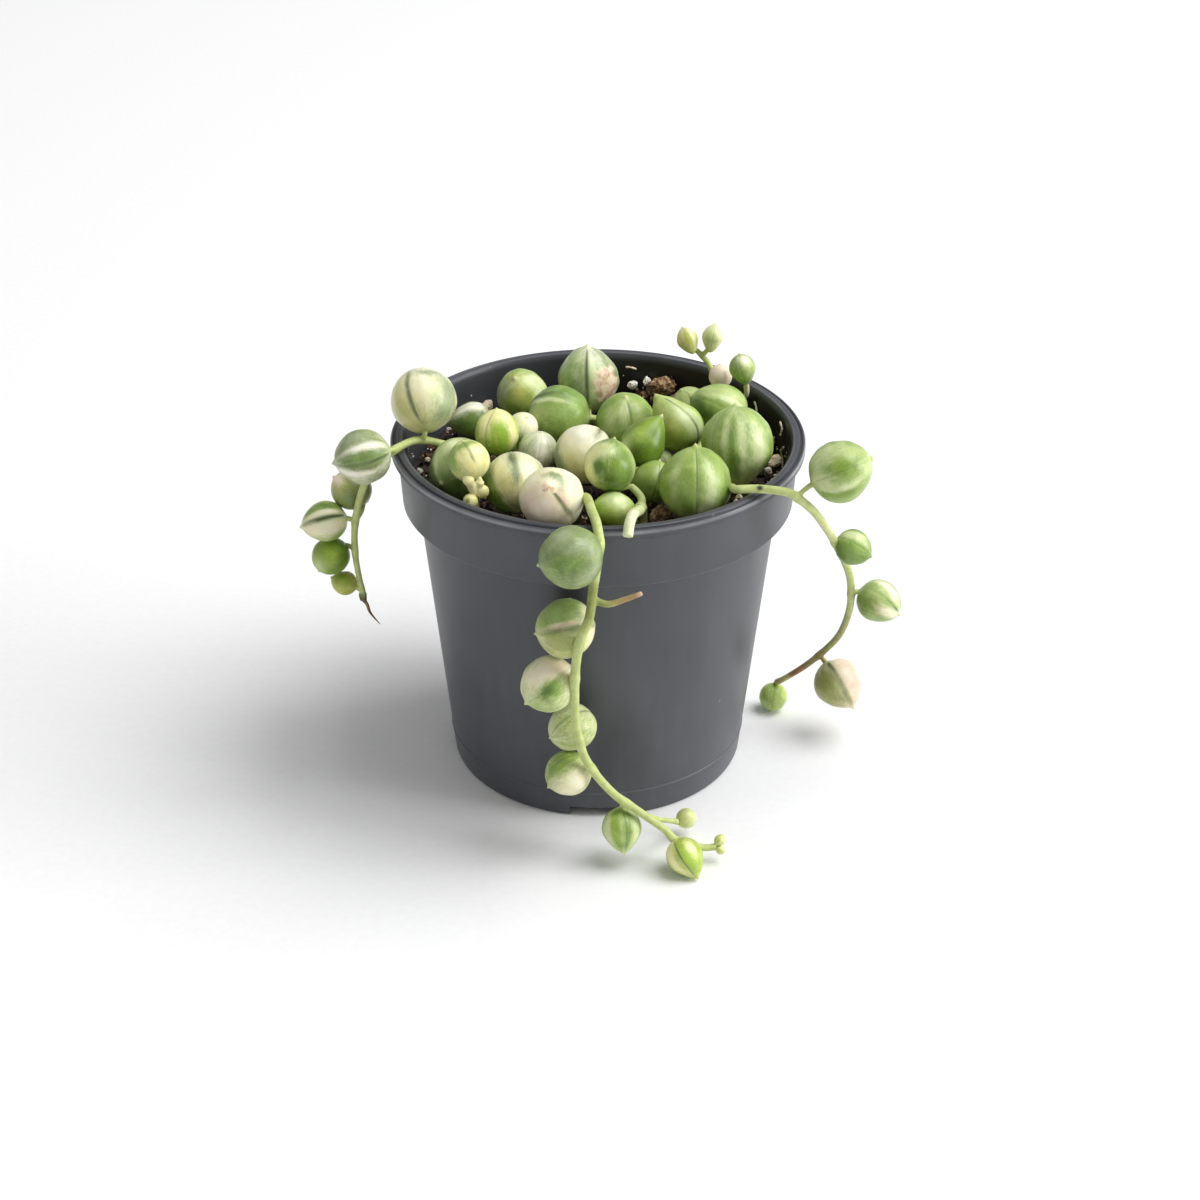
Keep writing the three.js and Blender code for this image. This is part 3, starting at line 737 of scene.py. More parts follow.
# %% Sprinkle the fines
FINES = [
    (PERLITE, "perlite fines", 170, (0.2, 0.42)),
    (STONE, "stone fines", 260, (0.22, 0.5)),
    (BARK, "bark fines", 260, (0.3, 0.8)),
]
FINES_RISE = 0.3
FINES_EDGE = 0.6
CROWDED_SPREAD = 0.28
WALL_SPECKS = 46
SPLASH_FOOT = 0.6
SPLASH_HEIGHT = 4.5


def fine_spots(count, sizes):
    spots = []
    for _ in range(count):
        x, y = random_place(FINES_EDGE, CROWDED_SPREAD)
        size = random.uniform(*sizes)
        spots.append(((x, y, soil_height(x, y) + FINES_RISE), (size, 0.8 * size, 0.7 * size), 0.5))
    return spots


def wall_spots():
    spots = []
    radius = BAND_FOOT_RADIUS - WALL - 0.05
    for _ in range(WALL_SPECKS):
        turn = random.uniform(0, 2 * math.pi)
        height = SOIL_LEVEL + SPLASH_FOOT + SPLASH_HEIGHT * random.random() ** 2
        size = random.uniform(0.15, 0.4)
        place = (radius * math.cos(turn), radius * math.sin(turn), height)
        spots.append((place, (size, size, 0.6 * size), 0.5))
    return spots


for i, (finish, name, count, sizes) in enumerate(FINES):
    spots = fine_spots(count, sizes) + ([] if finish is BARK else wall_spots())
    fines = scatter(name, 3, 40 + 4 * i, 1, 0.5, spots)
    dress(fines, name.replace(" ", "_"), finish, "soil")
    print(name, len(spots))

# %% [markdown]
# ## Leaves like pearls
# Each leaf of this plant is a water store, nearly a ball. A stalk holds it at one pole, and the
# other pole ends in a small sharp tip. Along one side, from stalk to tip, runs a narrow
# see-through slit that lets light in. The leaf is made from a sphere whose pole is the tip. In
# edit mode the tip and the stalk end are drawn out with a soft falloff, and the line of the
# slit is sunk a little. Only a few forms are needed, from ball to teardrop, and each leaf gets
# a copy of one.

# %% Make the leaf forms
SLIT_SINK = 0.02
TIP_POINT = 0.11
STALK_END = 0.05
FORM_SEGMENTS = 96
BUD_SEGMENTS = 40
BUD_SIZE = 2.2


def drag(form, chosen, move, reach, falloff):
    """Moves the chosen vertices, and their neighbours within reach by a soft falloff."""
    bpy.ops.mesh.select_all(action="DESELECT")
    bpy.ops.object.mode_set(mode="OBJECT")
    for vertex in form.data.vertices:
        vertex.select = chosen(vertex.co)
    bpy.ops.object.mode_set(mode="EDIT")
    bpy.ops.transform.translate(value=move, use_proportional_edit=True, proportional_size=reach,
                                proportional_edit_falloff=falloff)


def leaf_form(drawn, neck, segments):
    """A unit leaf: tip up, stalk end down, slit along +X. Both ends can be drawn out."""
    bpy.ops.mesh.primitive_uv_sphere_add(segments=segments, ring_count=segments // 2, radius=1)
    form = bpy.context.object
    form.name = f"leaf_form_{drawn}_{neck}_{segments}"
    bpy.ops.object.mode_set(mode="EDIT")
    bpy.ops.mesh.select_mode(type="VERT")
    drag(form, lambda co: co.z > 0.9999, (0, 0, drawn), 1.1, "SMOOTH")
    drag(form, lambda co: co.z > 1.0001 * (1 + drawn) - 0.001, (0, 0, TIP_POINT + 0.2 * drawn),
         0.16 + 0.4 * drawn, "SHARP")
    drag(form, lambda co: co.z < -0.9999, (0, 0, -neck), 1.1, "SMOOTH")
    drag(form, lambda co: co.z < -0.9999 - neck, (0, 0, -STALK_END), 0.35, "SHARP")
    drag(form, lambda co: co.x > 0.25 and abs(co.y) < 0.01, (-SLIT_SINK, 0, 0), 0.09, "SMOOTH")
    bpy.ops.object.mode_set(mode="OBJECT")
    deselect()
    return form


leaf_forms = {}


def form_for(look):
    """The form that a leaf is copied from. Each form is modelled when it is first needed."""
    key = (look["drawn"], look["neck"], FORM_SEGMENTS if look["size"] > BUD_SIZE else BUD_SEGMENTS)
    if key not in leaf_forms:
        leaf_forms[key] = leaf_form(*key)
    return leaf_forms[key]


ball = form_for(dict(drawn=0.05, neck=0, size=9))
print("ball's height above its middle:", round(max(v.co.z for v in ball.data.vertices), 3))

# %% [markdown]
# ## Stripes that follow the leaf
# This is the variegated kind: cream tissue and green tissue lie side by side in streaks that run
# from stalk to tip. A flat noise would look like marble, so each leaf gets its own map: how far
# a point is across from the slit and down from the tip. The streaks are noise on that map, drawn
# out along it. Where a leaf is mostly cream or green is painted on its points as soft patches,
# and the noise then frays their edges. A patch is given as seen from the front, as a place on
# the leaf's round face from -1 to 1 to the right and up, and how many degrees it reaches across
# and along the streaks. Patches are laid on in turn, each over the ones before.

# %% Paint a leaf's points
SEEN_RIGHT = Vector((1, 0, 0))
SEEN_UP = Vector((0, math.sin(LOOK_DOWN), math.cos(LOOK_DOWN)))
SEEN_TOWARD = Vector((0, -math.cos(LOOK_DOWN), math.sin(LOOK_DOWN)))
SLIT_START = 0.12
SLIT_FADE_IN = 0.2
SLIT_FADE_OUT = 0.35
DRAW_STREAKS = 0.3
NEXT_LEAF = 7.3

# The green called shade is a leaf's green as it lies in shade, so a patch of it is painted shade.
GREENS = {
    "leaf": "#90aa58", "fern": "#8fa862", "fresh": "#97b14a", "bright": "#9fbe48", "deep": "#74904a",
    "shade": "#566f3a", "dull": "#7d8c58", "grey": "#9aa684", "olive": "#999d5e", "yellow": "#b2b55c",
    "light": "#b6c585", "moss": "#718c34",
}
CREAMS = {
    "cream": "#f4eecb", "yellowish": "#efe9a8", "pinkish": "#f2e1cf", "blush": "#d8b9a9",
    "white": "#f2f0dc", "pale green": "#cbd7a2", "straw": "#dbd596",
}


def seen(right, up):
    """The direction from a leaf's middle to a place on its face, as seen from the front."""
    toward = math.sqrt(max(0.0, 1 - right * right - up * up))
    return (SEEN_RIGHT * right + SEEN_UP * up + SEEN_TOWARD * toward).normalized()


def pointing(turn, rise):
    """Unit direction from its turn about +Z and its rise above the level, in degrees."""
    turn, rise = math.radians(turn), math.radians(rise)
    return Vector((math.cos(rise) * math.cos(turn), math.cos(rise) * math.sin(turn), math.sin(rise)))


def leaf_axes(tip, slit):
    """Rotation that stands a leaf form's tip along tip, with its slit on the side of slit."""
    up = tip.normalized()
    side = slit - up * slit.dot(up)
    if side.length < 0.05:
        side = up.orthogonal()
    side.normalize()
    return Matrix((side, up.cross(side), up)).transposed()


def leaf_map(points):
    """For each point of a leaf form: its turn from the slit and its angle down from the tip."""
    unit = points / np.linalg.norm(points, axis=1, keepdims=True)
    return np.arctan2(unit[:, 1], unit[:, 0]), np.arccos(np.clip(unit[:, 2], -1, 1))


def patch_weight(turn, down, axes, patch):
    """How strongly a patch covers each point, from 0 to 1."""
    right, up, wide, long = patch[:4]
    x, y, z = axes.transposed() @ seen(right, up)
    apart = (turn - math.atan2(y, x) + math.pi) % (2 * math.pi) - math.pi
    across = apart * np.sin(down) / math.radians(wide)
    along = (down - math.acos(max(-1.0, min(1.0, z)))) / math.radians(long)
    return np.exp(-(across**2) - along**2)


def blend_colour(colours, hex_colour, weight):
    return colours + (np.array(linear(hex_colour)) - colours) * weight[:, None]


def store(mesh, name, kind, values):
    attribute = mesh.attributes.new(name, kind, "POINT")
    field = {"FLOAT": "value", "FLOAT_VECTOR": "vector", "FLOAT_COLOR": "color"}[kind]
    attribute.data.foreach_set(field, np.asarray(values, np.float32).ravel())


def paint_leaf(mesh, axes, look, number):
    """Stores on each point its share of cream, its tints, its scar and its place on the slit's and
    the streaks' map. Every leaf, by its number, takes its streaks from another stretch of noise."""
    points = np.array([vertex.co for vertex in mesh.vertices])
    turn, down = leaf_map(points)
    cream = np.full(len(points), look["cream"])
    scar = np.zeros(len(points))
    green_tint = np.tile(linear(GREENS[look["green"]]), (len(points), 1))
    cream_tint = np.tile(linear(CREAMS[look["tint"]]), (len(points), 1))
    for patch in look["patches"]:
        weight, paint = patch_weight(turn, down, axes, patch), patch[4]
        if paint in ("cream", "green"):
            cream = cream + ((paint == "cream") - cream) * weight
        elif paint == "scar":
            scar = np.maximum(scar, weight)
        elif paint in GREENS:
            green_tint = blend_colour(green_tint, GREENS[paint], weight)
        else:
            cream_tint = blend_colour(cream_tint, CREAMS[paint], weight)
    reach = math.radians(look["slit_reach"])
    fade_in = np.clip((down - SLIT_START) / SLIT_FADE_IN, 0, 1)
    fade_out = np.clip((reach - down) / SLIT_FADE_OUT, 0, 1)
    width = math.radians(look["slit_width"]) * (0.35 + 0.65 * np.sin(down))
    ink = look["slit_ink"] * (fade_in * fade_out)
    streak = np.stack([np.cos(turn), np.sin(turn), DRAW_STREAKS * down], 1) + NEXT_LEAF * number
    store(mesh, "cream", "FLOAT", cream)
    store(mesh, "scar", "FLOAT", scar)
    store(mesh, "green_tint", "FLOAT_COLOR", green_tint)
    store(mesh, "cream_tint", "FLOAT_COLOR", cream_tint)
    store(mesh, "streak", "FLOAT_VECTOR", streak)
    store(mesh, "slit", "FLOAT_VECTOR", np.stack([turn * np.sin(down), width, ink], 1))
    store(mesh, "down", "FLOAT", down)


print("greens:", len(GREENS), "creams:", len(CREAMS))

# %% [markdown]
# The finish of the leaf is a thin wax over wet flesh. Wax gives a soft sheen, and light that
# enters the flesh comes out again a millimetre away, which is why these leaves look lit from
# inside. The shader mixes green and cream tissue by the painted map and four sizes of noise,
# inks in the dark slit with a paler edge, pales the stalk end and the tip, and lays a dry corky
# brown over scars.

# %% Finish: waxy leaf
LIGHT_TRAVEL_MM = 0.9


def waxy_leaf():
    material, tree, place = new_material("waxy variegated leaf")

    def step(value, low, high, start=0.0, end=1.0):
        return spread(tree, value, low, high, start, end, "SMOOTHSTEP")

    def product(*values):
        return maths(tree, "MULTIPLY", *values)

    streak = stored(tree, "streak")["Vector"]
    broad = add_noise(tree, streak, 2.4, Detail=4.0, Roughness=0.6)
    fine = add_noise(tree, streak, 10.0, Detail=3.0, Roughness=0.65)
    veins = add_noise(tree, streak, 30.0, Detail=2.0)
    flecks = add_noise(tree, place, 1500.0, Detail=2.0)
    amount = stored(tree, "cream")["Fac"]
    for stripes, strength in ((broad, 0.8), (fine, 0.5), (veins, 0.25), (flecks, 0.15)):
        level = maths(tree, "SUBTRACT", stripes, 0.5)
        amount = maths(tree, "ADD", amount, product(level, strength))
    green, cream = stored(tree, "green_tint")["Color"], stored(tree, "cream_tint")["Color"]
    flesh = mixed(tree, product(step(amount, 0.15, 0.55), 0.5), green, cream)
    flesh = mixed(tree, step(amount, 0.45, 0.85), flesh, cream)

    clouds = add_noise(tree, place, 330.0, Detail=3.0, Distortion=0.6)
    cells = add_noise(tree, place, 2200.0, Detail=1.0)
    for share, tone, dark, light in (
        (0.35, step(clouds, 0.3, 0.7), "#6f7a58", "#fffff4"),
        (0.25, step(veins, 0.3, 0.7), "#a4ac8c", "#ffffee"),
        (0.12, cells, "#808070", "#ffffff"),
    ):
        flesh = mixed(tree, share, flesh, mixed(tree, tone, dark, light), "SOFT_LIGHT")

    slit = add_node(tree, "ShaderNodeSeparateXYZ", Vector=stored(tree, "slit")["Vector"])
    across, width, ink = slit.outputs
    ink = product(ink, step(broad, 0.36, 0.6, 0.4, 1.0))
    near = maths(tree, "DIVIDE", maths(tree, "ABSOLUTE", across, 0.0), width)
    flesh = mixed(tree, product(step(near, 2.4, 1.1), 0.3, ink), flesh, "#c9d3a4")
    flesh = mixed(tree, product(step(near, 1.5, 0.1), ink), flesh, "#4d5f36")

    down = stored(tree, "down")["Fac"]
    flesh = mixed(tree, product(step(down, 2.75, 3.1), 0.8), flesh, "#c3cf8c")
    flesh = mixed(tree, product(step(down, 0.1, 0.03), 0.8), flesh, "#d9d3a0")

    torn = add_noise(tree, place, 900.0, Detail=4.0)
    ragged = maths(tree, "SUBTRACT", torn, 0.5)
    cork_share = step(maths(tree, "ADD", stored(tree, "scar")["Fac"], ragged), 0.42, 0.55)
    cork = mixed(tree, step(torn, 0.35, 0.6), "#cda684", "#f3dfc2")
    flesh = mixed(tree, cork_share, flesh, cork)

    wax = maths(tree, "ADD", 0.28, product(veins, 0.12))
    relief = maths(tree, "ADD", product(fine, 0.5), product(torn, cork_share, 3.0))
    return surface(
        material, tree, Base_Color=flesh, Normal=add_bump(tree, relief, 0.3, 0.06), IOR=1.4,
        Roughness=maths(tree, "ADD", product(cork_share, 0.4), wax), Subsurface_Weight=0.45,
        Subsurface_Radius=(1.0, 0.9, 0.45), Subsurface_Scale=LIGHT_TRAVEL_MM * MM,
        Coat_Weight=0.15, Coat_Roughness=0.3,
    )


LEAF_FINISH = waxy_leaf()
print("finish:", LEAF_FINISH.name)

# %% [markdown]
# ## Stems
# The stems are thin green cords that creep, hang and root wherever they touch soil. A route of
# given points carries each one, and a smooth line is drawn through them. A stalk leaves
# the stem at its nearest point and runs into the leaf. A real stem swells where a stalk leaves
# it, and nothing there has a seam. So the tubes are drawn with a wider radius at those nodes,
# joined, and wrapped in one fine skin by a voxel remesh, which is then smoothed.

# %% Routes and tubes
STALK_DIAMETER = 0.9
SKIN_VOXEL = 0.13
SKIN_SMOOTHING = 6
NODE_SWELL = 0.18
NODE_REACH = 0.9
ROUTE_SPACING = 0.35
STALK_SPACING = 0.4
STALK_BASE = 1.2
STALK_INSIDE = 0.6
OPEN_ABOVE_SOIL = 1.2
BEND_ABOVE_SOIL = 1.6


def smooth_route(route):
    """Closely spaced points on a smooth line through the route, all in millimetres."""
    knots = [Vector(point) for point in route]
    knots = [2 * knots[0] - knots[1], *knots, 2 * knots[-1] - knots[-2]]
    line = []
    for a, b, c, d in zip(knots, knots[1:], knots[2:], knots[3:]):
        before, between, after = ((q - p).length ** 0.5 for p, q in ((a, b), (b, c), (c, d)))
        leave = between * ((b - a) / before - (c - a) / (before + between) + (c - b) / between)
        arrive = between * ((c - b) / between - (d - b) / (between + after) + (d - c) / after)
        steps = max(2, round((c - b).length / ROUTE_SPACING))
        for i in range(steps):
            t = i / steps
            line.append(
                b + leave * t + (3 * (c - b) - 2 * leave - arrive) * t**2
                + (2 * (b - c) + leave + arrive) * t**3
            )
    return [*line, knots[-2]]


def tube(points, diameters):
    """A closed tube along the points, with a diameter at each, in millimetres."""
    bpy.ops.curve.primitive_bezier_curve_add()
    cord = bpy.context.object
    cord.data.splines.clear()
    cord.data.dimensions = "3D"
    cord.data.bevel_depth = 0.5 * MM
    cord.data.bevel_resolution = 3
    cord.data.use_fill_caps = True
    spline = cord.data.splines.new("POLY")
    spline.points.add(len(points) - 1)
    for knot, point, diameter in zip(spline.points, points, diameters):
        knot.co = (*(point * MM), 1)
        knot.radius = diameter
    pick(cord)
    bpy.ops.object.convert(target="MESH")
    return bpy.context.object


def is_in_the_open(point):
    """Above the soil, or outside the pot."""
    return point.z > SOIL_LEVEL + OPEN_ABOVE_SOIL or math.hypot(point.x, point.y) > LIP_INNER_RADIUS


def stalk_points(leaf, line):
    """From the stem's nearest open point into the leaf's stalk end."""
    centre, radius, tip = Vector(leaf["at"]), leaf["size"] / 2, pointing(*leaf["tip"])
    base = centre - STALK_BASE * radius * tip
    start = min(filter(is_in_the_open, line), key=lambda point: (point - base).length)
    inside = centre - STALK_INSIDE * radius * tip
    bend = base.lerp(start, 0.3)
    if math.hypot(bend.x, bend.y) < LIP_INNER_RADIUS:
        bend.z = max(bend.z, SOIL_LEVEL + BEND_ABOVE_SOIL)
    count = max(6, round((inside - start).length / STALK_SPACING))
    shares = [i / count for i in range(count + 1)]
    return [(1 - t) ** 2 * start + 2 * t * (1 - t) * bend + t**2 * inside for t in shares]


def wrap(pieces):
    """Joins the tubes and wraps them in one smooth skin."""
    stem = join(pieces)
    skin = stem.modifiers.new("skin", "REMESH")
    skin.mode = "VOXEL"
    skin.voxel_size = SKIN_VOXEL * MM
    skin.use_smooth_shade = True
    soften = stem.modifiers.new("soften", "SMOOTH")
    soften.iterations = SKIN_SMOOTHING
    apply_modifiers(stem)
    return stem


print("skin voxels:", SKIN_VOXEL, "mm")

# %% [markdown]
# The same tube, drawn very thin, makes the few dry rootlets that cling to the wall above the
# soil, where an older stem once rooted.

# %% Rootlets on the wall
ROOTLET_DIAMETER = 0.3
ROOTLETS = [
    [(26.7, 5.6, 51.4), (27, 4.9, 50.6), (26.8, 4.9, 49.6)],
    [(27.2, 2.9, 48.6), (26.9, 3.8, 47.4), (27.2, 3.3, 46.1), (27.1, 2.4, 45.4)],
    [(4.3, 27, 50.3), (5, 26.7, 50.4), (5.9, 26.7, 50.1)],
    [(23.4, 14.2, 50.6), (23.7, 13.9, 50), (23.8, 13.4, 49.2)],
    [(26.1, 8, 47.7), (26.2, 8.2, 46.8), (25.9, 8.9, 45.8)],
]

rootlets = []
for route in ROOTLETS:
    line = smooth_route(route)
    widths = [ROOTLET_DIAMETER * (1 + 0.35 * math.sin(2.3 * i)) for i in range(len(line))]
    rootlets.append(tube(line, widths))
strands = join(rootlets)
bpy.ops.object.shade_smooth()
dress(strands, "dry_rootlets", STONE, "soil")
print("rootlets:", len(ROOTLETS))

# %% [markdown]
# A real stem is faintly ribbed along its length. Here the skin is matt and yellow-green, with
# faint blotches and bumps from noise. Old stretches turn olive or brown and dead ones grey-brown.
# As with the leaves, the hue is painted on the points by soft patches, here balls in space with a
# reach in millimetres, and noise breaks it up.

# %% Finish: green stem
STEM_HUE = "#bdc886"


def green_stem():
    material, tree, place = new_material("green stem skin")
    blotch = add_noise(tree, place, 900.0, Detail=4.0, Roughness=0.6)
    tone = add_ramp(tree, blotch, [(0.3, "#8a8a70"), (0.7, "#f4f4e4")])
    return surface(
        material, tree, Roughness=0.5, IOR=1.4, Normal=add_bump(tree, blotch, 0.35, 0.05),
        Base_Color=mixed(tree, 0.55, stored(tree, "stem_tint")["Color"], tone, "SOFT_LIGHT"),
        Subsurface_Weight=0.25, Subsurface_Radius=(1.0, 0.9, 0.4), Subsurface_Scale=0.4 * MM,
    )


def paint_stem(stem, tints, hue):
    """Gives each point the hue, then each tint (place, reach, hex colour) in its ball."""
    points = np.array([vertex.co for vertex in stem.data.vertices]) / MM
    colours = np.tile(linear(hue), (len(points), 1))
    for place, reach, tint in tints:
        away = np.linalg.norm(points - np.array(place), axis=1) / reach
        colours = blend_colour(colours, tint, np.exp(-(away**4)))
    store(stem.data, "stem_tint", "FLOAT_COLOR", colours)


STEM_FINISH = green_stem()
print("finish:", STEM_FINISH.name)

# %% [markdown]
# ## Growing a spray
# Everything is ready to grow a spray: its stems, then each leaf with its stalk. A leaf is a copy
# of the form that is drawn out as far as it is. It is painted, scaled, turned and moved to its
# place, and broad noise makes it a little uneven, as no two are alike. Each leaf has the place
# and the width that it has in the construction, where it is a plain solid. Four of them turn
# their tips a little further out of sight here, because the photograph shows no tip on them.

# %% Grow leaves and sprays
UNEVEN = texture("uneven growth", "CLOUDS", 5)
UNEVEN_SHARE = 0.07
THICKEST_STALK = 0.4
STALK_WAIST = 0.85
leaf_count = 0


def leaf(at, size, tip, drawn=0.05, neck=0, slit=(0, -1), slit_width=2.6, slit_ink=0.6, slit_reach=165,
         cream=0.1, green="leaf", tint="cream", patches=()):
    """What is to be known of one leaf. The slit's reach is in degrees down from the tip, and cream
    is how much of the leaf is cream before the patches."""
    return dict(at=at, size=size, tip=tip, drawn=drawn, neck=neck, slit=slit, slit_width=slit_width,
                slit_ink=slit_ink, slit_reach=slit_reach, cream=cream, green=green, tint=tint,
                patches=patches)


def make_leaf(node, name, look):
    global leaf_count
    leaf_count += 1
    piece = bpy.data.objects.new(name, form_for(look).data.copy())
    bpy.context.collection.objects.link(piece)
    axes = leaf_axes(pointing(*look["tip"]), seen(*look["slit"]))
    paint_leaf(piece.data, axes, look, leaf_count)
    place, radius = Vector(look["at"]) * MM, look["size"] / 2 * MM
    piece.matrix_world = Matrix.Translation(place) @ axes.to_4x4() @ Matrix.Scale(radius, 4)
    keep_place_in_mesh(piece)
    displace(piece, UNEVEN, UNEVEN_SHARE * look["size"])
    apply_modifiers(piece)
    bpy.ops.object.shade_smooth()
    dress(piece, name, LEAF_FINISH, node)


def shares_along(points):
    """How far along each point is, from 0 to 1."""
    return [i / (len(points) - 1) for i in range(len(points))]


def grow(node, stems, leaves, ends=(), tints=(), hue=STEM_HUE):
    """Grows one spray. Its stems and dried ends are (diameter, end diameter, route). A stem
    swells where a stalk leaves it, and a stalk has its waist at a third of its length."""
    lines = [smooth_route(route) for _, _, route in stems]
    every_point = [point for line in lines for point in line]
    stalks = [stalk_points(look, every_point) for look in leaves]
    tubes = []
    for (diameter, end_diameter, _), line in zip(stems, lines):
        widths = []
        for share, point in zip(shares_along(line), line):
            nearest = min((point - stalk[0]).length for stalk in stalks)
            swell = 1 + NODE_SWELL * math.exp(-((nearest / NODE_REACH) ** 2))
            widths.append((diameter + (end_diameter - diameter) * share**3) * swell)
        tubes.append(tube(line, widths))
    for diameter, end_diameter, route in ends:
        line = smooth_route(route)
        widths = [diameter + (end_diameter - diameter) * share for share in shares_along(line)]
        tubes.append(tube(line, widths))
    for look, stalk in zip(leaves, stalks):
        width = min(STALK_DIAMETER, THICKEST_STALK * look["size"])
        widths = [width * (STALK_WAIST + 0.9 * (share - 0.35) ** 2) for share in shares_along(stalk)]
        tubes.append(tube(stalk, widths))
    stem = wrap(tubes)
    paint_stem(stem, tints, hue)
    dress(stem, node + "_stem", STEM_FINISH, node)
    for i, look in enumerate(leaves):
        make_leaf(node, f"{node}_leaf_{i + 1}", look)
    print(node, "leaves:", len(leaves), "stem faces:", len(stem.data.polygons))


print("ready to grow")

# %% [markdown]
# The vine over the left rim carries the palest leaf of all and hangs down the pot's side to a
# brown dried tip. Each leaf is written as its middle, its width, the turn and rise of its tip and
# how far the tip is drawn out, and then how it looks.

# %% The left vine
VINE = 1.4
RUNNER = 1.4
SHOOT = 1.2
BARE_SHOOT = 1.6

grow(
    "left_vine",
    stems=[
        (SHOOT, 0.85, [
            (-17, 1, 43.5), (-17, 1, 46.5), (-19, -1, 49.8), (-22.3, -4.1, 52.4),
            (-25.7, -4.9, 53.4), (-28.9, -8.2, 53.4), (-31.4, -8, 51.2), (-33.8, -5.5, 46),
            (-35.3, -4, 40), (-35.7, -3.5, 35), (-35.5, -3, 31), (-34.9, -3, 27),
        ]),
    ],
    ends=[
        (1.3, 1.1, [(-34.95, -3, 27), (-34.9, -3, 25.9)]),
        (0.7, 0.2, [(-34.9, -3, 26), (-34.4, -3, 25.2), (-34, -3, 23.8), (-32.5, -3, 21.6)]),
    ],
    leaves=[
        leaf((-19.5, -9.5, 51), 9, (-120, 0), slit=(-0.4, -0.9), cream=0.12, green="dull",
             tint="pale green", patches=[
                 (0.5, 0.3, 25, 40, "grey"), (-0.6, 0.6, 16, 30, "light"),
                 (-0.75, 0.25, 7, 30, "cream"), (-0.2, 0.8, 14, 24, "cream"),
                 (0.1, -0.5, 40, 40, "deep"),
             ]),
        leaf((-25, -1.5, 58), 9.4, (100, 33), slit=(-0.38, 0.1), slit_width=5.5, slit_ink=0.8,
             cream=0.8, green="grey", patches=[
                 (-0.75, 0, 30, 70, "straw"), (0, -0.75, 70, 34, "straw"),
                 (0.85, 0, 28, 60, "green"), (0.5, 0.2, 16, 40, "pale green"),
                 (0.2, 0.85, 24, 12, "green"),
             ]),
        leaf((-33, -10.5, 53.6), 7.7, (-170, -10), slit=(0, -0.36), slit_width=5, slit_ink=0.8,
             cream=0.32, green="dull", tint="white", patches=[
                 (0, -0.66, 8, 60, "cream"), (0, -0.2, 10, 60, "deep"), (0.1, 0.3, 7, 60, "cream"),
                 (0.35, -0.2, 20, 40, "green"), (-0.5, 0.6, 20, 50, "green"),
                 (-0.4, 0.55, 30, 50, "grey"),
             ]),
        leaf((-36.1, 0, 42.8), 5.9, (180, 40), slit=(0.3, 0.8), slit_ink=0.2, cream=0.15,
             green="olive", tint="straw", patches=[
                 (-0.6, 0.4, 34, 40, "cream"), (-0.6, 0.5, 20, 30, "pinkish"),
                 (0.3, -0.4, 60, 60, "green"), (0.3, -0.5, 60, 50, "dull"),
             ]),
        leaf((-39.7, -3, 39.2), 6, (-170, -10), 0.2, slit=(0, 0.12), slit_width=8, slit_ink=1,
             cream=0.35, patches=[
                 (0, 0.8, 18, 90, "green"), (0, 0.8, 20, 90, "deep"), (0, 0.42, 9, 60, "cream"),
                 (0, -0.45, 26, 90, "cream"), (0.6, -0.8, 30, 30, "green"),
             ]),
        leaf((-39.3, -3, 33.4), 5.6, (-130, -30), slit_ink=0, cream=0, green="moss",
             patches=[(0.1, 0.1, 34, 34, "bright"), (-0.6, -0.6, 30, 40, "light")]),
        leaf((-37.5, -2.5, 28.5), 3.7, (170, 20), 0.2, slit=(0, 0.8), slit_ink=0.3, cream=0.1,
             green="yellow", patches=[(-0.2, 0.3, 30, 50, "fresh")]),
    ],
    tints=[
        ((-35, -3, 26.3), 1.0, "#4a3b2a"), ((-34, -3, 23), 3, "#7a5a3c"),
        ((-19, 0, 47), 3, "#8f9a58"),
    ],
)

# %% [markdown]
# The front vine is the longest. It leaves the soil among the leaves, lies over the rim, hangs down
# the pot's face and curls to the right along the surface. Below the rim it has a dry stub where a
# side shoot died.

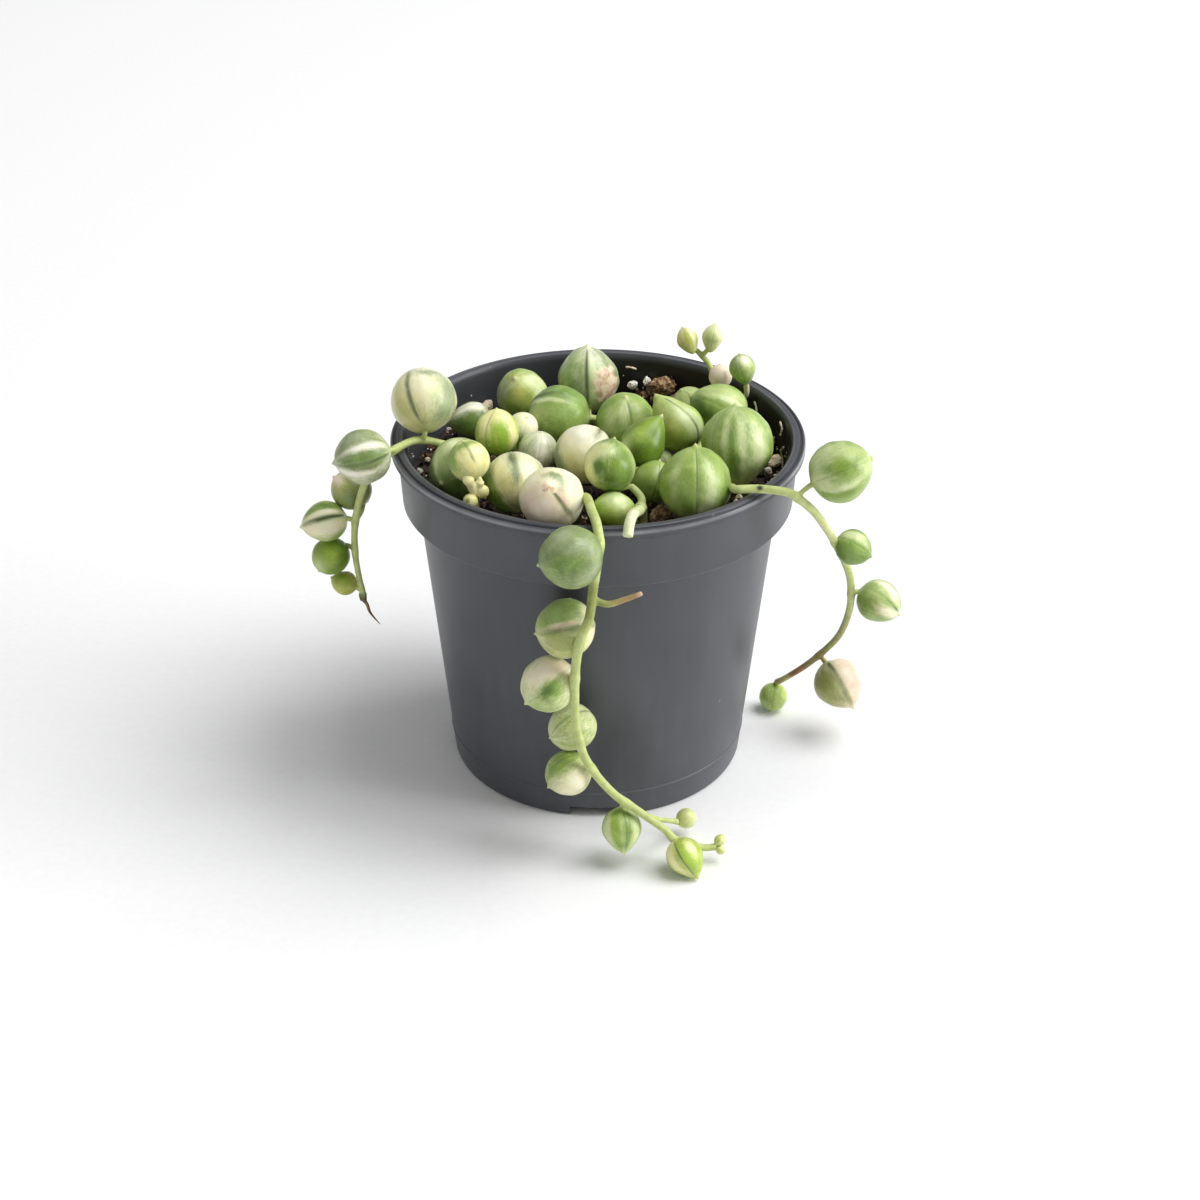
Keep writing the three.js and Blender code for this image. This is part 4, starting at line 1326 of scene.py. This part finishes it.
# %% The front vine
grow(
    "front_vine",
    stems=[
        (VINE, 1.1, [
            (-3, -16.5, 43.5), (-3, -16.5, 46.5), (-2.5, -18.8, 50.5), (-1.6, -22, 53.2),
            (-0.8, -26.7, 53.6), (-0.1, -30.5, 53.5), (0.2, -32.2, 51.8), (-0.1, -32, 48.3),
            (-0.6, -32.5, 44.7), (-1.1, -34.4, 41.5), (-2.3, -35, 38.3), (-3, -34.2, 33),
            (-3.1, -34, 28.9), (-2.8, -33, 22.5), (-1.5, -33, 17.5), (2.2, -33, 12), (6.1, -33.5, 9),
            (9.7, -34, 6.3), (11.1, -34, 4.6), (13.5, -32.5, 3),
        ]),
        (0.8, 0.8, [(6.1, -33.5, 9), (8.5, -31.5, 6.5), (11.5, -28, 3.5)]),
        (1.1, 0.9, [(12.5, -33, 3.6), (15.1, -33, 2.5), (17, -32.8, 2.5)]),
    ],
    ends=[(1.1, 0.7, [(-0.5, -33, 43.4), (1.4, -33.2, 42.9), (3.6, -33.2, 43.6), (6, -33, 44.5)])],
    leaves=[
        leaf((-6.3, -22, 53), 8.9, (-100, 50), slit=(0.6, -0.6), slit_width=6, slit_ink=0.9,
             slit_reach=75, cream=0.9, green="dull", patches=[
                 (0.2, 0.62, 26, 10, "green"), (0.2, 0.5, 60, 30, "grey"),
                 (-0.72, -0.2, 18, 35, "blush"), (-0.16, 0.26, 9, 8, "scar"),
                 (0.05, 0.22, 6, 7, "scar"), (0.3, -0.1, 16, 18, "blush"),
                 (-0.2, -0.5, 40, 30, "pinkish"),
             ]),
        leaf((-3.4, -35, 51.1), 8.4, (-170, -10), slit=(0.1, 0.95), slit_ink=0.3, cream=0.12,
             green="dull", tint="pale green", patches=[
                 (-0.4, 0.6, 26, 35, "grey"), (0.6, -0.5, 20, 30, "grey"),
                 (0.3, 0.3, 16, 40, "grey"), (-0.2, -0.3, 20, 40, "deep"),
             ]),
        leaf((-4.3, -30.5, 37.5), 8.2, (-160, 0), slit=(0, -0.05), slit_width=9, slit_ink=0.6,
             cream=0.4, green="fern", tint="cream", patches=[
                 (0, -0.7, 40, 60, "straw"), (-0.3, -0.5, 30, 40, "olive"),
                 (0, 0.65, 30, 80, "green"), (0, -0.6, 24, 80, "cream"), (0.85, 0, 60, 22, "cream"),
                 (-0.1, 0.12, 5, 40, "blush"), (-0.1, 0.12, 5, 40, "cream"),
                 (-0.3, -0.5, 24, 40, "green"),
             ]),
        leaf((-6.7, -32, 29.5), 7.7, (-150, -30), slit=(0.2, 0.05), slit_ink=0.2, cream=0.5,
             tint="cream", patches=[
                 (0, 0.65, 35, 60, "cream"), (0.1, -0.15, 18, 32, "green"),
                 # painted shade: the shade patch darkens the leaf's middle
                 (0, -0.2, 14, 24, "shade"), (-0.2, -0.75, 30, 50, "pale green"),
                 (0.3, 0.6, 30, 40, "pinkish"),
             ]),
        leaf((-3.5, -28.5, 20.1), 6.8, (-150, -10), slit=(-0.1, 0.5), cream=0.45, slit_ink=0.8),
        leaf((-4, -31, 14), 6.4, (-160, -30), slit=(0.2, 0.8), cream=0.4,
             patches=[(-0.3, 0.5, 30, 50, "green"), (0.3, -0.5, 40, 50, "cream")]),
        leaf((3.5, -33, 6), 5.6, (-80, -50), 0.3, slit=(0.25, 0), slit_width=4, slit_ink=0.6,
             cream=0.25, tint="pale green", patches=[
                 (-0.8, 0, 16, 90, "cream"), (-0.35, 0, 11, 60, "fresh"),
                 (-0.35, 0, 11, 60, "green"), (0, 0, 6, 60, "light"), (0.4, 0, 14, 60, "deep"),
                 (0.8, 0, 14, 90, "cream"),
             ]),
        leaf((13, -26.5, 3), 3, (-20, 50), slit=(0, 0.8), slit_ink=0.3, cream=0.4, green="light",
             tint="yellowish"),
        leaf((12.5, -35.5, 3), 5.2, (-50, -40), 0.35, slit=(-0.3, 0.1), slit_width=4, slit_ink=0.8,
             cream=0.2, green="fresh", tint="yellowish", patches=[
                 (-0.8, 0, 18, 90, "cream"), (0.25, 0.2, 24, 50, "bright"),
                 (0.3, 0.5, 14, 30, "cream"),
             ]),
        leaf((17.6, -32.3, 3.3), 1.6, (40, 40), 0.2, 0.3, slit_ink=0, cream=0.5, tint="yellowish"),
        leaf((17.7, -33.2, 2.2), 1.3, (-20, 0), 0.2, slit_ink=0, cream=0.5, tint="yellowish"),
    ],
    tints=[
        ((-0.5, -33.5, 43), 3.2, "#8c9456"), ((4.5, -33, 44), 3, "#a58a63"),
        ((6.1, -33, 44.5), 0.9, "#cfa79b"), ((-2, -22, 52), 4, "#a9b36e"),
        ((-2.8, -17.5, 48), 3, "#9aa06a"),
    ],
)

# %% [markdown]
# The right vine climbs over two big leaves and the rim, then swings out in a free arc and comes
# down to the surface beside the pot. Only its own stiffness holds it clear of the pot.

# %% The right vine
grow(
    "right_vine",
    stems=[
        (VINE - 0.15, 0.95, [
            (17.5, -11, 43.5), (17.5, -11, 45.2), (17.5, -11, 46.8), (18, -13.5, 49.8),
            (18.5, -17, 52.2), (19.1, -19.6, 53.3), (21.4, -19.6, 53.4), (24.2, -20, 53.4),
            (26.4, -20.1, 53),
            (27.9, -19.4, 51.6), (30.2, -17, 48.4), (32.4, -14, 44.1), (34.1, -11, 40.1),
            (36.5, -8, 34), (37.5, -5, 28.4), (37.6, -2, 23), (36.7, 1, 17.5), (35, 3, 13.8),
            (32.4, 5, 9.8), (29.4, 6.5, 6.5), (28.2, 7.5, 5.1),
        ]),
    ],
    leaves=[
        leaf((20, -3.5, 52.3), 10.3, (100, 70), 0.05, 0.2, slit=(-0.75, 0.1), slit_ink=0.4,
             cream=0.2, green="leaf", tint="pale green", patches=[
                 (-0.42, 0.15, 6, 50, "cream"), (0.08, 0, 8, 60, "cream"),
                 (0.55, -0.15, 16, 40, "cream"), (-0.2, -0.1, 8, 50, "deep"),
                 (0.28, 0.2, 7, 50, "deep"), (-0.8, 0, 14, 50, "light"),
             ]),
        leaf((13.5, -16, 52.1), 10.1, (90, 70), slit=(0.02, 0), slit_width=2, slit_ink=0.6,
             cream=0.14, green="leaf", tint="pale green", patches=[
                 (0.42, -0.3, 16, 40, "light"), (0.42, -0.2, 9, 50, "cream"),
                 (-0.6, 0.2, 10, 40, "light"), (0.2, -0.75, 10, 14, "cream"),
             ]),
        leaf((33.3, -18, 55.3), 8.6, (10, 20), slit=(-0.2, -0.12), slit_ink=0.25, cream=0.15,
             green="fern", tint="pale green", patches=[
                 (-0.6, 0.5, 24, 35, "cream"), (0, -0.6, 9, 50, "cream"),
                 (0.2, 0.6, 16, 40, "light"), (0, 0.1, 22, 28, "moss"), (0, 0.1, 18, 24, "green"),
                 (-0.6, -0.5, 20, 30, "cream"), (0.1, -0.8, 12, 50, "moss"),
                 (0.1, -0.8, 10, 50, "green"), (0.85, 0, 20, 30, "light"),
             ]),
        leaf((36.5, -11.5, 39.8), 5.2, (-20, -20), 0.1, slit=(0, 0.2), slit_ink=0.1, cream=0.05,
             green="deep", tint="pale green",
             patches=[(0, 0.7, 22, 60, "cream"), (0.2, 0.2, 30, 40, "leaf")]),
        leaf((41.4, -6, 27.8), 6.3, (-30, -20), 0.15, slit=(0.35, 0), slit_width=6, slit_ink=1,
             slit_reach=75, cream=0.2, green="fern", patches=[
                 (0.4, -0.55, 14, 40, "cream"), (-0.5, 0.4, 26, 30, "yellowish"),
                 (-0.3, 0.3, 20, 40, "light"), (0.5, 0.6, 16, 40, "cream"),
                 (-0.6, -0.3, 26, 50, "leaf"),
             ]),
        leaf((37, 1, 9.3), 7.3, (-50, -40), 0.2, slit=(0, 0), slit_width=8, slit_ink=1, cream=0.5,
             green="olive", tint="pinkish", patches=[
                 (0.6, 0, 40, 80, "cream"), (0.7, 0, 30, 60, "blush"),
                 (-0.5, -0.2, 30, 60, "straw"), (-0.6, -0.2, 26, 60, "green"),
             ]),
        leaf((27.8, 7.5, 2.4), 4.4, (-100, -40), slit=(0, 0.6), slit_ink=0.3, cream=0.35,
             green="fresh", tint="pale green"),
    ],
    tints=[
        ((37, 0, 20), 6, "#a9a776"), ((33.5, 4, 11.5), 4, "#a89a68"), ((31, 5, 8.5), 2.2, "#a57c5e"),
        ((28.4, 7, 5.2), 2, "#b9a878"), ((17.5, -11, 46), 3, "#8f9a60"),
        ((32, -14.5, 44.5), 4, "#cdd29a"), ((22.2, -20.2, 53.9), 0.45, "#3a3a28"),
    ],
)

# %% [markdown]
# A short shoot stands up at the back on the right, with small young leaves.

# %% The back shoot
grow(
    "back_vine",
    stems=[
        (SHOOT, 0.7, [
            (17.6, 16.2, 43.5), (17.6, 16.2, 46.5), (17.9, 17.6, 49.5), (17.6, 19, 52.2),
            (16.7, 19.8, 54.2), (14.9, 20, 56.3),
        ]),
        (0.9, 0.8, [(17.9, 17.5, 49.3), (20.5, 16.2, 49.6), (22.2, 15, 51.2), (22.2, 14.6, 53)]),
    ],
    leaves=[
        leaf((13.4, 20, 58.1), 3.2, (130, 50), 0.2, 0.45, slit=(0.2, 0), slit_ink=0.2, cream=0.75,
             green="yellow", tint="straw",
             patches=[(0, 0, 16, 60, "green"), (0, 0.7, 30, 30, "pinkish")]),
        leaf((17.2, 20, 58.5), 3.2, (70, 60), 0.2, 0.45, slit=(0, 0), slit_ink=0.3, cream=0.6,
             green="light", patches=[(-0.1, 0.1, 30, 50, "green")]),
        leaf((21.5, 14.5, 56), 4, (140, 70), 0.05, 0.3, slit=(-0.3, 0.2), slit_ink=0.1, cream=0.3,
             green="deep", tint="pale green", patches=[
                 (0.1, 0.5, 30, 34, "cream"), (0, 0.5, 34, 24, "white"),
                 (0.2, -0.3, 60, 30, "leaf"),
             ]),
        leaf((18.4, 17.5, 53.2), 3.6, (0, 90), slit=(0.3, 0), slit_ink=0.2, cream=1,
             tint="pinkish"),
        leaf((14, 15.8, 49.1), 5.7, (180, 60), slit=(0, 0.4), cream=0.15, green="light"),
    ],
    tints=[((22.2, 14.7, 52.5), 1.6, "#d8d6b0")],
)

# %% [markdown]
# Five short runners creep over the soil between the vines. They carry the crowd of leaves that
# fills the pot, so little of the runners themselves is seen. The west one forks, and holds the
# big leaf at the left front, whose cream face is split by a broad dark slit.

# %% The west runner
grow(
    "west_stem",
    stems=[
        (RUNNER, 1.1, [
            (-9, 3, 43.5), (-9, 3, 46.6), (-10.5, -1, 47.6), (-11.5, -5, 47.6), (-12, -8.5, 48),
        ]),
        (RUNNER, 1.1, [(-9, 3, 46.8), (-12.5, 5, 47.6), (-16, 7.5, 47.8)]),
    ],
    leaves=[
        leaf((-18.6, 10, 49.3), 5.7, (-170, 0), 0.3, slit=(0.2, 0.8), slit_ink=0.3, cream=0.1,
             green="dull", tint="white",
             patches=[(0, 0.75, 22, 60, "cream"), (0, -0.3, 40, 60, "deep")]),
        leaf((-14.5, -2.5, 53.5), 6.4, (90, 80), slit=(-0.35, 0.4), slit_ink=0.5, cream=0.2,
             green="bright", tint="yellowish", patches=[
                 (-0.5, 0.3, 20, 50, "cream"), (0.75, 0.1, 14, 50, "cream"),
                 (0.1, 0.75, 40, 20, "cream"),
             ]),
        leaf((-11, 2, 52), 4.6, (-50, 60), slit=(0.2, 0), slit_ink=0.2, cream=0.95),
        leaf((-8.6, -3, 50.8), 5.8, (-10, 80), slit=(0.1, 0), slit_ink=0.2, cream=0.5, green="grey",
             tint="white", patches=[(0.2, 0, 14, 50, "cream"), (-0.5, 0.3, 16, 40, "leaf")]),
        leaf((-11.5, -14.5, 51.5), 8.6, (100, 35), slit=(-0.02, 0.3), slit_width=10, slit_ink=0.9,
             slit_reach=85, cream=0.6, green="grey", tint="cream", patches=[
                 (-0.9, -0.15, 34, 34, "green"), (-0.4, -0.8, 80, 40, "green"),
                 (-0.7, -0.6, 90, 60, "moss"), (-0.4, 0.1, 16, 50, "cream"),
                 (0.45, 0.4, 22, 40, "cream"), (0.03, 0.3, 9, 45, "green"),
                 (0.03, 0.3, 16, 50, "grey"), (0.3, -0.3, 16, 20, "cream"),
                 (-0.3, -0.1, 30, 50, "straw"),
             ]),
    ],
)

# %% [markdown]
# The north runner lies behind. Its first leaf is deep green with a long dark slit, and the last
# one, at the back, has a dry tan scar on its right side.

# %% The north runner
grow(
    "north_stem",
    stems=[
        (RUNNER, 1.1, [
            (2.5, 13.5, 43.5), (2.5, 13.5, 46.6), (-1, 14, 47.6), (-5, 14, 47.6), (-8, 14, 47.8),
        ]),
    ],
    leaves=[
        leaf((-5.6, 7, 51.5), 9.1, (162, -4), slit=(-0.42, 0.68), slit_width=7, slit_ink=1,
             slit_reach=100, cream=0.03, green="deep", tint="pale green", patches=[
                 (-0.42, 0.5, 5, 50, "cream"), (-0.85, 0, 25, 35, "light"),
                 (0.4, -0.3, 40, 50, "leaf"), (0.1, 0.2, 20, 30, "fern"),
             ]),
        leaf((-11.5, 17.2, 50.1), 7.8, (-120, 60), slit=(0.5, 0.8), slit_ink=0.3, cream=0.12,
             green="leaf", tint="pale green", patches=[
                 (0.75, 0.4, 24, 50, "cream"), (-0.2, 0.3, 50, 50, "yellow"),
                 (-0.8, 0, 24, 50, "grey"),
             ]),
        leaf((-1.5, 21, 51), 9.3, (100, 80), 0.1, 0.15, slit=(-0.06, 0.1), slit_width=4.5,
             slit_ink=0.9, cream=0.35, green="grey", tint="pale green", patches=[
                 (0.14, 0.2, 7, 60, "cream"), (0.68, -0.25, 34, 40, "scar"),
                 (-0.4, 0.5, 14, 50, "cream"), (-0.7, -0.2, 24, 60, "fern"),
                 (-0.7, -0.2, 20, 60, "green"), (0.2, 0.8, 30, 30, "white"),
             ]),
    ],
)

# %% [markdown]
# The centre runner holds leaves of every kind. One is almost plain green and drawn out to a long
# tip, and the one on its left is nearly all cream.

# %% The centre runner
grow(
    "centre_stem",
    stems=[(RUNNER, 1.1, [(2, 2, 43.5), (2, 2, 46.6), (3, -1.5, 47.6), (4.2, -5, 47.6)])],
    leaves=[
        leaf((4, 6, 50.8), 9, (-90, 80), slit=(0.16, 0.2), slit_width=4, slit_ink=0.6, cream=0.1,
             tint="pale green", patches=[
                 (-0.05, 0.35, 9, 30, "cream"), (0.5, 0.3, 14, 40, "light"),
                 (-0.5, 0, 14, 40, "light"),
             ]),
        leaf((6.3, -6, 53.4), 6.3, (30, 50), 0.45, slit_ink=0, cream=0, green="moss",
             patches=[(-0.3, 0.3, 20, 40, "fresh"), (-0.8, -0.2, 20, 40, "light")]),
        leaf((-2, -6.5, 52), 8.5, (60, 25), slit=(0.36, 0.5), slit_width=9, slit_ink=0.9,
             slit_reach=95, cream=1, green="grey", patches=[
                 (-0.95, 0, 20, 60, "green"), (0.1, 0.6, 30, 30, "white"),
                 (-0.3, -0.5, 60, 40, "yellowish"),
             ]),
        leaf((7.9, -9.5, 49.2), 6, (40, 70), slit=(0.2, 0.2), cream=0.05, green="leaf",
             patches=[(0.4, 0.5, 25, 30, "light")]),
        leaf((9.5, -1, 48.2), 3.2, (-140, 70), slit=(0, 0.2), cream=0.5, green="light",
             tint="pale green"),
    ],
)

# %% [markdown]
# The south runner carries two leaves and then goes on as a bare pale shoot, the thickest stem of
# the plant, which lies over the front rim and ends just outside it.

# %% The south runner
grow(
    "south_stem",
    stems=[
        (BARE_SHOOT, 1.5, [
            (6.2, -16.5, 43.5), (6.2, -16.5, 45.2), (6.2, -16.5, 46.8), (6, -18, 49.4),
            (5.6, -22, 51.2), (5, -26, 53), (4.6, -28, 53.6), (4.2, -30.4, 53.5), (4, -31.6, 52.4),
        ]),
        (SHOOT, 0.8, [(6, -18, 49.4), (6.1, -16.8, 50.3), (5.5, -16, 50.9), (4.5, -15.5, 51.7)]),
    ],
    leaves=[
        leaf((1.6, -16, 55), 7.2, (60, 70), slit=(0.9, 0), slit_ink=0.3, cream=0.03, green="deep",
             tint="pale green", patches=[
                 (-0.85, -0.1, 36, 60, "cream"), (-0.3, 0.6, 30, 22, "light"),
                 # painted shade: the shade patch darkens a spot left of the middle
                 (-0.3, 0.6, 24, 18, "cream"), (-0.4, -0.1, 14, 16, "shade"),
                 (-0.4, -0.1, 16, 16, "green"), (0.3, 0.2, 40, 40, "moss"),
                 (-0.9, 0, 24, 60, "yellowish"), (0.95, 0, 14, 60, "light"),
             ]),
        leaf((2, -19.5, 50), 5.2, (-160, 10), 0.15, 0.3, slit_ink=0, cream=0.2, green="bright",
             tint="pale green", patches=[
                 (-0.5, -0.1, 50, 50, "green"), (0.2, 0.7, 34, 50, "cream"),
                 (0.7, 0.1, 40, 40, "light"),
             ]),
    ],
    tints=[
        ((4.3, -30, 53), 4, "#dfe0bd"), ((5.2, -23, 52), 4, "#c9d0a0"),
        ((5.6, -20.6, 51.4), 0.35, "#5d6038"), ((5.1, -24.4, 53.2), 0.3, "#6a6a42"),
    ],
    hue="#bfca8c",
)

# %% [markdown]
# The east runner lies to the left of the big leaf at the right, and runs to the back. The first
# of its two leaves is a teardrop with a sharp tip, striped in yellow-green and pale green.

# %% The east runner
grow(
    "east_stem",
    stems=[
        (RUNNER, 1.1, [
            (13.5, -1.5, 43.5), (13.5, -1.5, 46.6), (14.3, 2, 47.6), (15.5, 6, 47.7),
            (16.3, 9.5, 47.8),
        ]),
    ],
    leaves=[
        leaf((11.7, 1.5, 52.5), 7.1, (150, 47), 0.45, slit=(0.6, 0.15), slit_width=4, slit_ink=0.8,
             cream=0.15, green="fresh", tint="pale green", patches=[
                 (0.8, 0.2, 14, 60, "cream"), (0.35, 0.1, 14, 60, "cream"),
                 (-0.4, -0.1, 30, 60, "yellow"), (0.2, 0.4, 30, 50, "light"),
                 (-0.6, -0.5, 20, 40, "fresh"),
             ]),
        leaf((18.1, 9.5, 51.1), 8.4, (180, 30), 0.15, slit=(0, 0.12), slit_width=3, slit_ink=0.1,
             cream=0.06, green="leaf", tint="pale green", patches=[
                 (0, 0.65, 26, 80, "light"), (0.2, 0.4, 8, 60, "cream"),
                 # painted shade: the shade patch darkens the lower left, away from the light
                 (-0.5, -0.3, 34, 50, "moss"), (-0.6, -0.1, 16, 40, "shade"),
             ]),
    ],
)

# %% [markdown]
# At the front left a young shoot has only one leaf, pale yellow, and three buds that have hardly
# opened, one of them on a short side shoot.

# %% The bud shoot
grow(
    "bud_shoot",
    stems=[
        (SHOOT, 1.1, [
            (-16.8, -17.2, 43.5), (-16.8, -17.2, 46.5), (-17, -17.6, 50), (-16.7, -17.9, 52),
            (-16.2, -18, 53.6),
        ]),
        (1.2, 1, [(-17, -18.2, 51.6), (-17.3, -18.3, 52.6), (-17.7, -18.4, 53.8)]),
    ],
    leaves=[
        leaf((-17.8, -16, 55.8), 5.7, (125, 35), slit=(0.2, 0.1), slit_width=5, slit_ink=0.6,
             slit_reach=130, cream=0.8, tint="yellowish", patches=[
                 (-0.85, 0, 22, 60, "green"), (0, 0.8, 50, 16, "green"), (0.4, 0, 24, 40, "cream"),
             ]),
        leaf((-17.8, -18.5, 54), 1.6, (150, 60), 0.3, 0.45, slit_ink=0, cream=1, tint="yellowish"),
        leaf((-16, -18, 52), 1.9, (-30, 40), 0.1, 0.3, slit_ink=0, cream=1, tint="yellowish"),
        leaf((-17.6, -19, 51), 2.1, (-110, -20), 0.1, 0.3, slit_ink=0, cream=1, tint="yellowish",
             patches=[(-0.3, 0, 24, 30, "olive"), (-0.3, 0, 20, 26, "green")]),
    ],
    tints=[((-17, -18, 53), 3, "#f3ecb4")],
)

# %% [markdown]
# The forms that the leaves were copied from have done their work and are removed.

# %% Put the forms away
put_away(leaf_forms.values())
print("leaves grown:", leaf_count, "from", len(leaf_forms), "forms")
